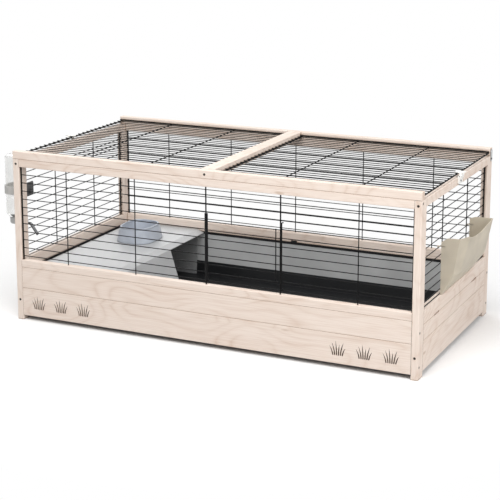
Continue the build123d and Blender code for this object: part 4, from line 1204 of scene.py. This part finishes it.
def rib_mesh(name, width, depth, height):
    """One grip rib: a rounded bar that stands out along +X, as high as the grip."""
    half = width / 2
    section = [(-depth, -half), (0, -half), *arc((0, 0), half, -60, 60, 4), (0, half), (-depth, half)]
    end = height / 2
    rings = []
    for z, draw in ((-end, 0.4), (half - end, 1), (end - half, 1), (end, 0.4)):
        rings.append([(x * draw, y * draw, z) for x, y in section])
    return skin(name, rings, capped=True)


def gripped(name, profile, radius, count, rib, place, finish):
    """A turned form with ribs round it, made along Z and then put in place."""
    core = turned(name + "_core", profile, Matrix.Identity(4))
    form = add_object(name + "_rib", rib)
    values = {"Rib": form, "Count": count, "Radius": radius, "Finish": finish}
    made = grown(name, core, grip_tree(), values)
    bpy.data.objects.remove(form)
    made.data.transform(place)
    smooth(made.data, 40)
    return made


class CAGE_OT_bottle(Operator):
    """Build the water bottle with its cap, nozzle and ball, and finish its holder and clamp"""

    bl_idname = "cage.bottle"
    bl_label = "Water Bottle"

    def execute(self, context):
        finish = finishes()
        edge = context.scene.cage_sizes.small_edge
        low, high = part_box("bottle")
        axis = Matrix.Translation(((low.x + high.x) / 2, (low.y + high.y) / 2, 0))
        outline = self.outline(low.z, high.z, (high.x - low.x) / 2)
        bottle = add_object("bottle_wall", smooth(turned("bottle_wall", outline, axis, 64, loop=True)))
        dress(bottle, finish["bottle"])
        belong(bottle, "cage_frame", "clear_plastic", "bottle")
        self.cap(finish["cap"], axis)
        self.nozzle(finish["nozzle"])
        holder = softened("holder_ring", "bottle_holder", edge, finish["holder"], limit=40)
        smooth(holder.data)
        belong(holder, "cage_frame", "grey_plastic", "bottle_holder")
        plate = softened("clamp_pad", "clamp_plate", edge, finish["fitting"])
        belong(plate, "cage_frame", "grey_plastic", "clamp_plate")
        self.knob(finish["fitting"])
        return {"FINISHED"}

    def outline(self, foot, top, radius):
        """The bottle's wall as radius and height pairs, up the outside and down the inside."""
        neck = 17 * MM
        neck_top = foot + 10 * MM
        body_low = neck_top + 12 * MM
        crown = 9 * MM
        waist = radius - 0.9 * MM
        outer = [(neck, foot), (neck, neck_top)]
        outer += arc((neck, body_low), radius - neck, -90, 0, 8)[1:]
        for share in (0.2, 0.26, 0.8, 0.86):
            z = body_low + share * (top - crown - body_low)
            outer += [(radius, z - 3 * MM), (waist, z - MM), (waist, z + MM), (radius, z + 3 * MM)]
        outer += arc((radius - crown, top - crown), crown, 0, 80, 8)
        outer += [(radius * 0.35, top - 0.6 * MM), (0, top - 1.4 * MM)]
        wall = bpy.context.scene.cage_sizes.bottle_wall
        inner = []
        for r, z in reversed(outer):
            sunk_by = wall if z > top - crown / 2 else 0
            inner.append((max(r - wall, 0), z - sunk_by))
        return outer + inner

    def cap(self, finish, axis):
        """The screw cap: a ribbed cup with an outlet that the nozzle leaves."""
        low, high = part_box("bottle_cap")
        depth = 21 * MM
        middle = high.z - depth / 2
        top = depth / 2
        body = (high.y - low.y) / 2 - 0.9 * MM
        lip = 1.2 * MM
        inside = 17.3 * MM
        floor = 3 * MM - top
        profile = [(0, -top), (body - lip, -top), (body, lip - top), (body, top - lip), (body - lip, top)]
        profile += [(inside, top), (inside, floor), (0, floor)]
        rib = rib_mesh("cap_rib_form", 1.5 * MM, MM, depth - 4 * MM)
        place = axis @ Matrix.Translation((0, 0, middle))
        count = bpy.context.scene.cage_sizes.grip_count
        made = gripped("cap_cup", profile, body, count, rib, place, finish)
        belong(made, "cage_frame", "grey_plastic", "bottle_cap")

    def nozzle(self, finish):
        """The bent steel tube with a rolled mouth and the ball that stops it."""
        low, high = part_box("bottle_nozzle")
        y = (low.y + high.y) / 2
        start = Vector((-649.4 * MM, y, 284.6 * MM))
        knee = Vector((-609 * MM, y, 279.75 * MM))
        tip = Vector((-586.5 * MM, y, 250 * MM))
        tube = 4.5 * MM
        bore = 3.2
        path = bent([start, knee, tip], 9 * MM, 10)
        end = len(path) - 1
        drop = (path[end] - path[end - 1]).normalized()
        rings = [self.ring(path, 0, 0)]
        rings += [self.ring(path, i, tube) for i in range(len(path))]
        # The rolled mouth: how far past the tube's end each ring is, and its radius
        mouth = ((1.2, 4.3), (1.8, 3.8), (1.6, 3.4), (0.8, bore), (-3.0, bore), (-3.0, 0))
        for reach, out in mouth:
            rings.append([p + drop * reach * MM for p in self.ring(path, end, out * MM)])
        made = add_object("nozzle_tube", smooth(skin("nozzle_tube", rings)))
        dress(made, finish)
        belong(made, "cage_frame", "steel", "bottle_nozzle")
        spin = drop.to_track_quat("Z", "Y").to_matrix().to_4x4()
        place = Matrix.Translation(path[end] - drop * 0.6 * MM) @ spin
        half_round = [(max(r, 0), z) for r, z in arc((0, 0), (bore - 0.2) * MM, -90, 90, 12)]
        ball = add_object("nozzle_ball", smooth(turned("nozzle_ball", half_round, place, 24), 80))
        dress(ball, finish)
        belong(ball, "cage_frame", "steel")

    def ring(self, path, index, radius):
        """A ring square to the path, which lies in one plane."""
        before = path[max(index - 1, 0)]
        after = path[min(index + 1, len(path) - 1)]
        along = (after - before).normalized()
        side = Vector((0, 1, 0))
        up = side.cross(along)
        turns = [2 * math.pi * i / 28 for i in range(28)]
        return [path[index] + side * radius * math.cos(a) + up * radius * math.sin(a) for a in turns]

    def knob(self, finish):
        """The clamp's bolt, with its ribbed knob on the inside."""
        low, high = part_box("clamp_bolt")
        height = 7 * MM
        end = height / 2
        face = (high.z - low.z) / 2 - 0.8 * MM
        dish = end - 0.8 * MM
        stem = 2.5 * MM
        root = end - (high.x - low.x)
        profile = [(0, root), (stem, root), (stem, -end), (face, -end), (face, end - MM), (face - MM, end)]
        profile += [(face * 0.5, end), (face * 0.42, dish), (0, dish)]
        rib = rib_mesh("knob_rib_form", 1.7 * MM, MM, height - 1.2 * MM)
        middle = Vector((high.x - end, (low.y + high.y) / 2, (low.z + high.z) / 2))
        place = Matrix.Translation(middle) @ Matrix.Rotation(math.radians(90), 4, "Y")
        count = bpy.context.scene.cage_sizes.knob_ribs
        made = gripped("clamp_knob", profile, face, count, rib, place, finish)
        belong(made, "cage_frame", "grey_plastic", "clamp_bolt")


# Hinges and catches


class CAGE_OT_fittings(Operator):
    """Finish the hinge brackets and the catches, and set their screws"""

    bl_idname = "cage.fittings"
    bl_label = "Hinges and Catches"

    def execute(self, context):
        finish = finishes()
        edge = context.scene.cage_sizes.small_edge
        plate = 629 * MM
        rise = 8 * MM
        places = []
        for side, out in (("left", -1), ("right", 1)):
            base = softened("catch_plate_" + side, "catch_base_" + side, edge, finish["catch"])
            belong(base, "cage_frame", "white_plastic", "catch_base_" + side)
            hook = softened("catch_arm_" + side, "catch_hook_" + side, edge, finish["catch"])
            belong(hook, side + "_catch", "white_plastic", "catch_hook_" + side)
            bracket = "hinge_bracket_" + side
            strap = softened("hinge_strap_" + side, bracket, edge / 2, finish["steel"], limit=60)
            belong(strap, "cage_frame", "steel", bracket)
            facing = Vector((out, 0, 0))
            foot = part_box("catch_base_" + side)[0].z
            places.append((Vector((plate * out, 0, foot + rise)), facing))
            low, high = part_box(bracket)
            face = high.x if out > 0 else low.x
            places.append((Vector((face, (low.y + high.y) / 2, low.z + rise)), facing))
        dress(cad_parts["catch_pins"], finish["steel"])
        head = add_object("head_form", head_mesh(6 * MM))
        screws("fitting_screws", "cage_frame", places, head, 1.1 * MM, finish["screw"])
        bpy.data.objects.remove(head)
        return {"FINISHED"}


# Stage


def seen_rays(tree):
    """One for the rays that reach the eye straight, mirrored or through clear plastic, else nought."""
    rays = add(tree, "ShaderNodeLightPath").outputs
    direct = add(tree, MATH, (rays["Is Camera Ray"], rays["Is Glossy Ray"]), operation="MAXIMUM")
    return add(tree, MATH, (direct, rays["Is Transmission Ray"]), operation="MAXIMUM")


def floor_material():
    """A pale paper floor that keeps the shadow, and turns to plain white away from the object."""
    chosen = bpy.context.scene.cage_colours
    made, tree, place = start_material("Pale floor")
    away = add(tree, VECTOR, (place,), operation="LENGTH")
    fibre = speckle(tree, place, 14, detail=2.0)
    tone = mottled(tree, fibre, rgba(chosen.floor), shade(chosen.floor, 0.985))
    seen = seen_rays(tree)
    # What bounces off the floor is halved, so that it doesn't light the cage from below
    sides = {"Factor": seen, "A": shade(chosen.floor, 0.5), "B": tone}
    paper = add(tree, "ShaderNodeBsdfDiffuse", {"Color": add(tree, MIX, sides, data_type="RGBA")})
    white = add(tree, "ShaderNodeEmission", {"Color": (1, 1, 1, 1), "Strength": 1.0})
    distance = add(tree, RANGE, (away, *FLOOR_FADE))
    faded = add(tree, MATH, (seen, distance), operation="MULTIPLY")
    add(tree, OUTPUT, {"Surface": add(tree, "ShaderNodeMixShader", (faded, paper, white))})
    return made


def lamp(name, place, aim, size, power):
    """A soft square lamp that points at a spot."""
    light = bpy.data.lights.new(name, "AREA")
    light.shape = "SQUARE"
    light.size = size
    light.energy = power
    made = add_object(name, light)
    made.location = place
    made.rotation_euler = (Vector(aim) - Vector(place)).to_track_quat("-Z", "Y").to_euler()
    return made


def surroundings(room_light):
    """A world that looks plain white and lights the cage more softly than that."""
    world = bpy.data.worlds.new("Studio")
    world.use_nodes = True
    tree = world.node_tree
    tree.nodes.clear()
    room = add(tree, "ShaderNodeBackground", {"Color": (1, 1, 1, 1), "Strength": room_light})
    white = add(tree, "ShaderNodeBackground", {"Color": (1, 1, 1, 1), "Strength": 1.0})
    both = add(tree, "ShaderNodeMixShader", (seen_rays(tree), room, white))
    add(tree, "ShaderNodeOutputWorld", {"Surface": both})
    return world


class CAGE_OT_stage(Operator):
    """Set the pale floor, the soft lamps, the white surroundings and the camera"""

    bl_idname = "cage.stage"
    bl_label = "Studio"

    def execute(self, context):
        stage = context.scene.cage_stage
        rings = [circle(reach, 0, FLOOR_SIDES) for reach in FLOOR_RINGS]
        floor = add_object("floor", skin("floor", rings))
        floor.location.z = -0.2 * MM
        dress(floor, floor_material())
        for name, (place, aim, size) in LAMPS.items():
            lamp(name + "_lamp", place, aim, size, getattr(stage, name + "_light"))
        context.scene.world = surroundings(stage.room_light)
        camera = bpy.data.cameras.new("camera")
        camera.sensor_width = 36.0
        camera.lens = stage.lens
        camera.shift_y = stage.camera_shift
        seat = add_object("camera", camera)
        seat.location = stage.camera_place
        seat.rotation_euler = (math.pi / 2 - stage.camera_drop, 0, stage.camera_turn)
        context.scene.camera = seat
        context.scene.view_settings.view_transform = "Standard"
        return {"FINISHED"}


class CAGE_PT_steps(Panel):
    """The steps that dress the cage, in order"""

    bl_idname = "CAGE_PT_steps"
    bl_label = "Rodent Cage"
    bl_space_type = "VIEW_3D"
    bl_region_type = "UI"
    bl_category = "Cage"

    def draw(self, context):
        for step in STEPS:
            self.layout.operator(step.bl_idname, text=step.bl_label)
        for settings in (context.scene.cage_sizes, context.scene.cage_colours, context.scene.cage_stage):
            box = self.layout.box()
            for name in settings.bl_rna.properties.keys():
                if name not in {"rna_type", "name"}:
                    box.prop(settings, name)


SETTINGS = {"cage_colours": CageColours, "cage_sizes": CageSizes, "cage_stage": CageStage}
STEPS = (
    CAGE_OT_timber,
    CAGE_OT_wire,
    CAGE_OT_door,
    CAGE_OT_inside,
    CAGE_OT_bowl,
    CAGE_OT_rack,
    CAGE_OT_bottle,
    CAGE_OT_fittings,
    CAGE_OT_stage,
)


def register():
    """Registers the settings, the steps and the panel."""
    for name, group in SETTINGS.items():
        bpy.utils.register_class(group)
        setattr(bpy.types.Scene, name, PointerProperty(type=group))
    for step in (*STEPS, CAGE_PT_steps):
        bpy.utils.register_class(step)


def unregister():
    """Takes away what register added."""
    for step in reversed((*STEPS, CAGE_PT_steps)):
        bpy.utils.unregister_class(step)
    for name, group in SETTINGS.items():
        delattr(bpy.types.Scene, name)
        bpy.utils.unregister_class(group)


def main():
    """Dresses the cage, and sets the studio."""
    register()
    bpy.ops.cage.timber()
    bpy.ops.cage.wire()
    bpy.ops.cage.door()
    bpy.ops.cage.inside()
    bpy.ops.cage.bowl()
    bpy.ops.cage.rack()
    bpy.ops.cage.bottle()
    bpy.ops.cage.fittings()
    bpy.ops.cage.stage()


if __name__ == "__main__":
    main()
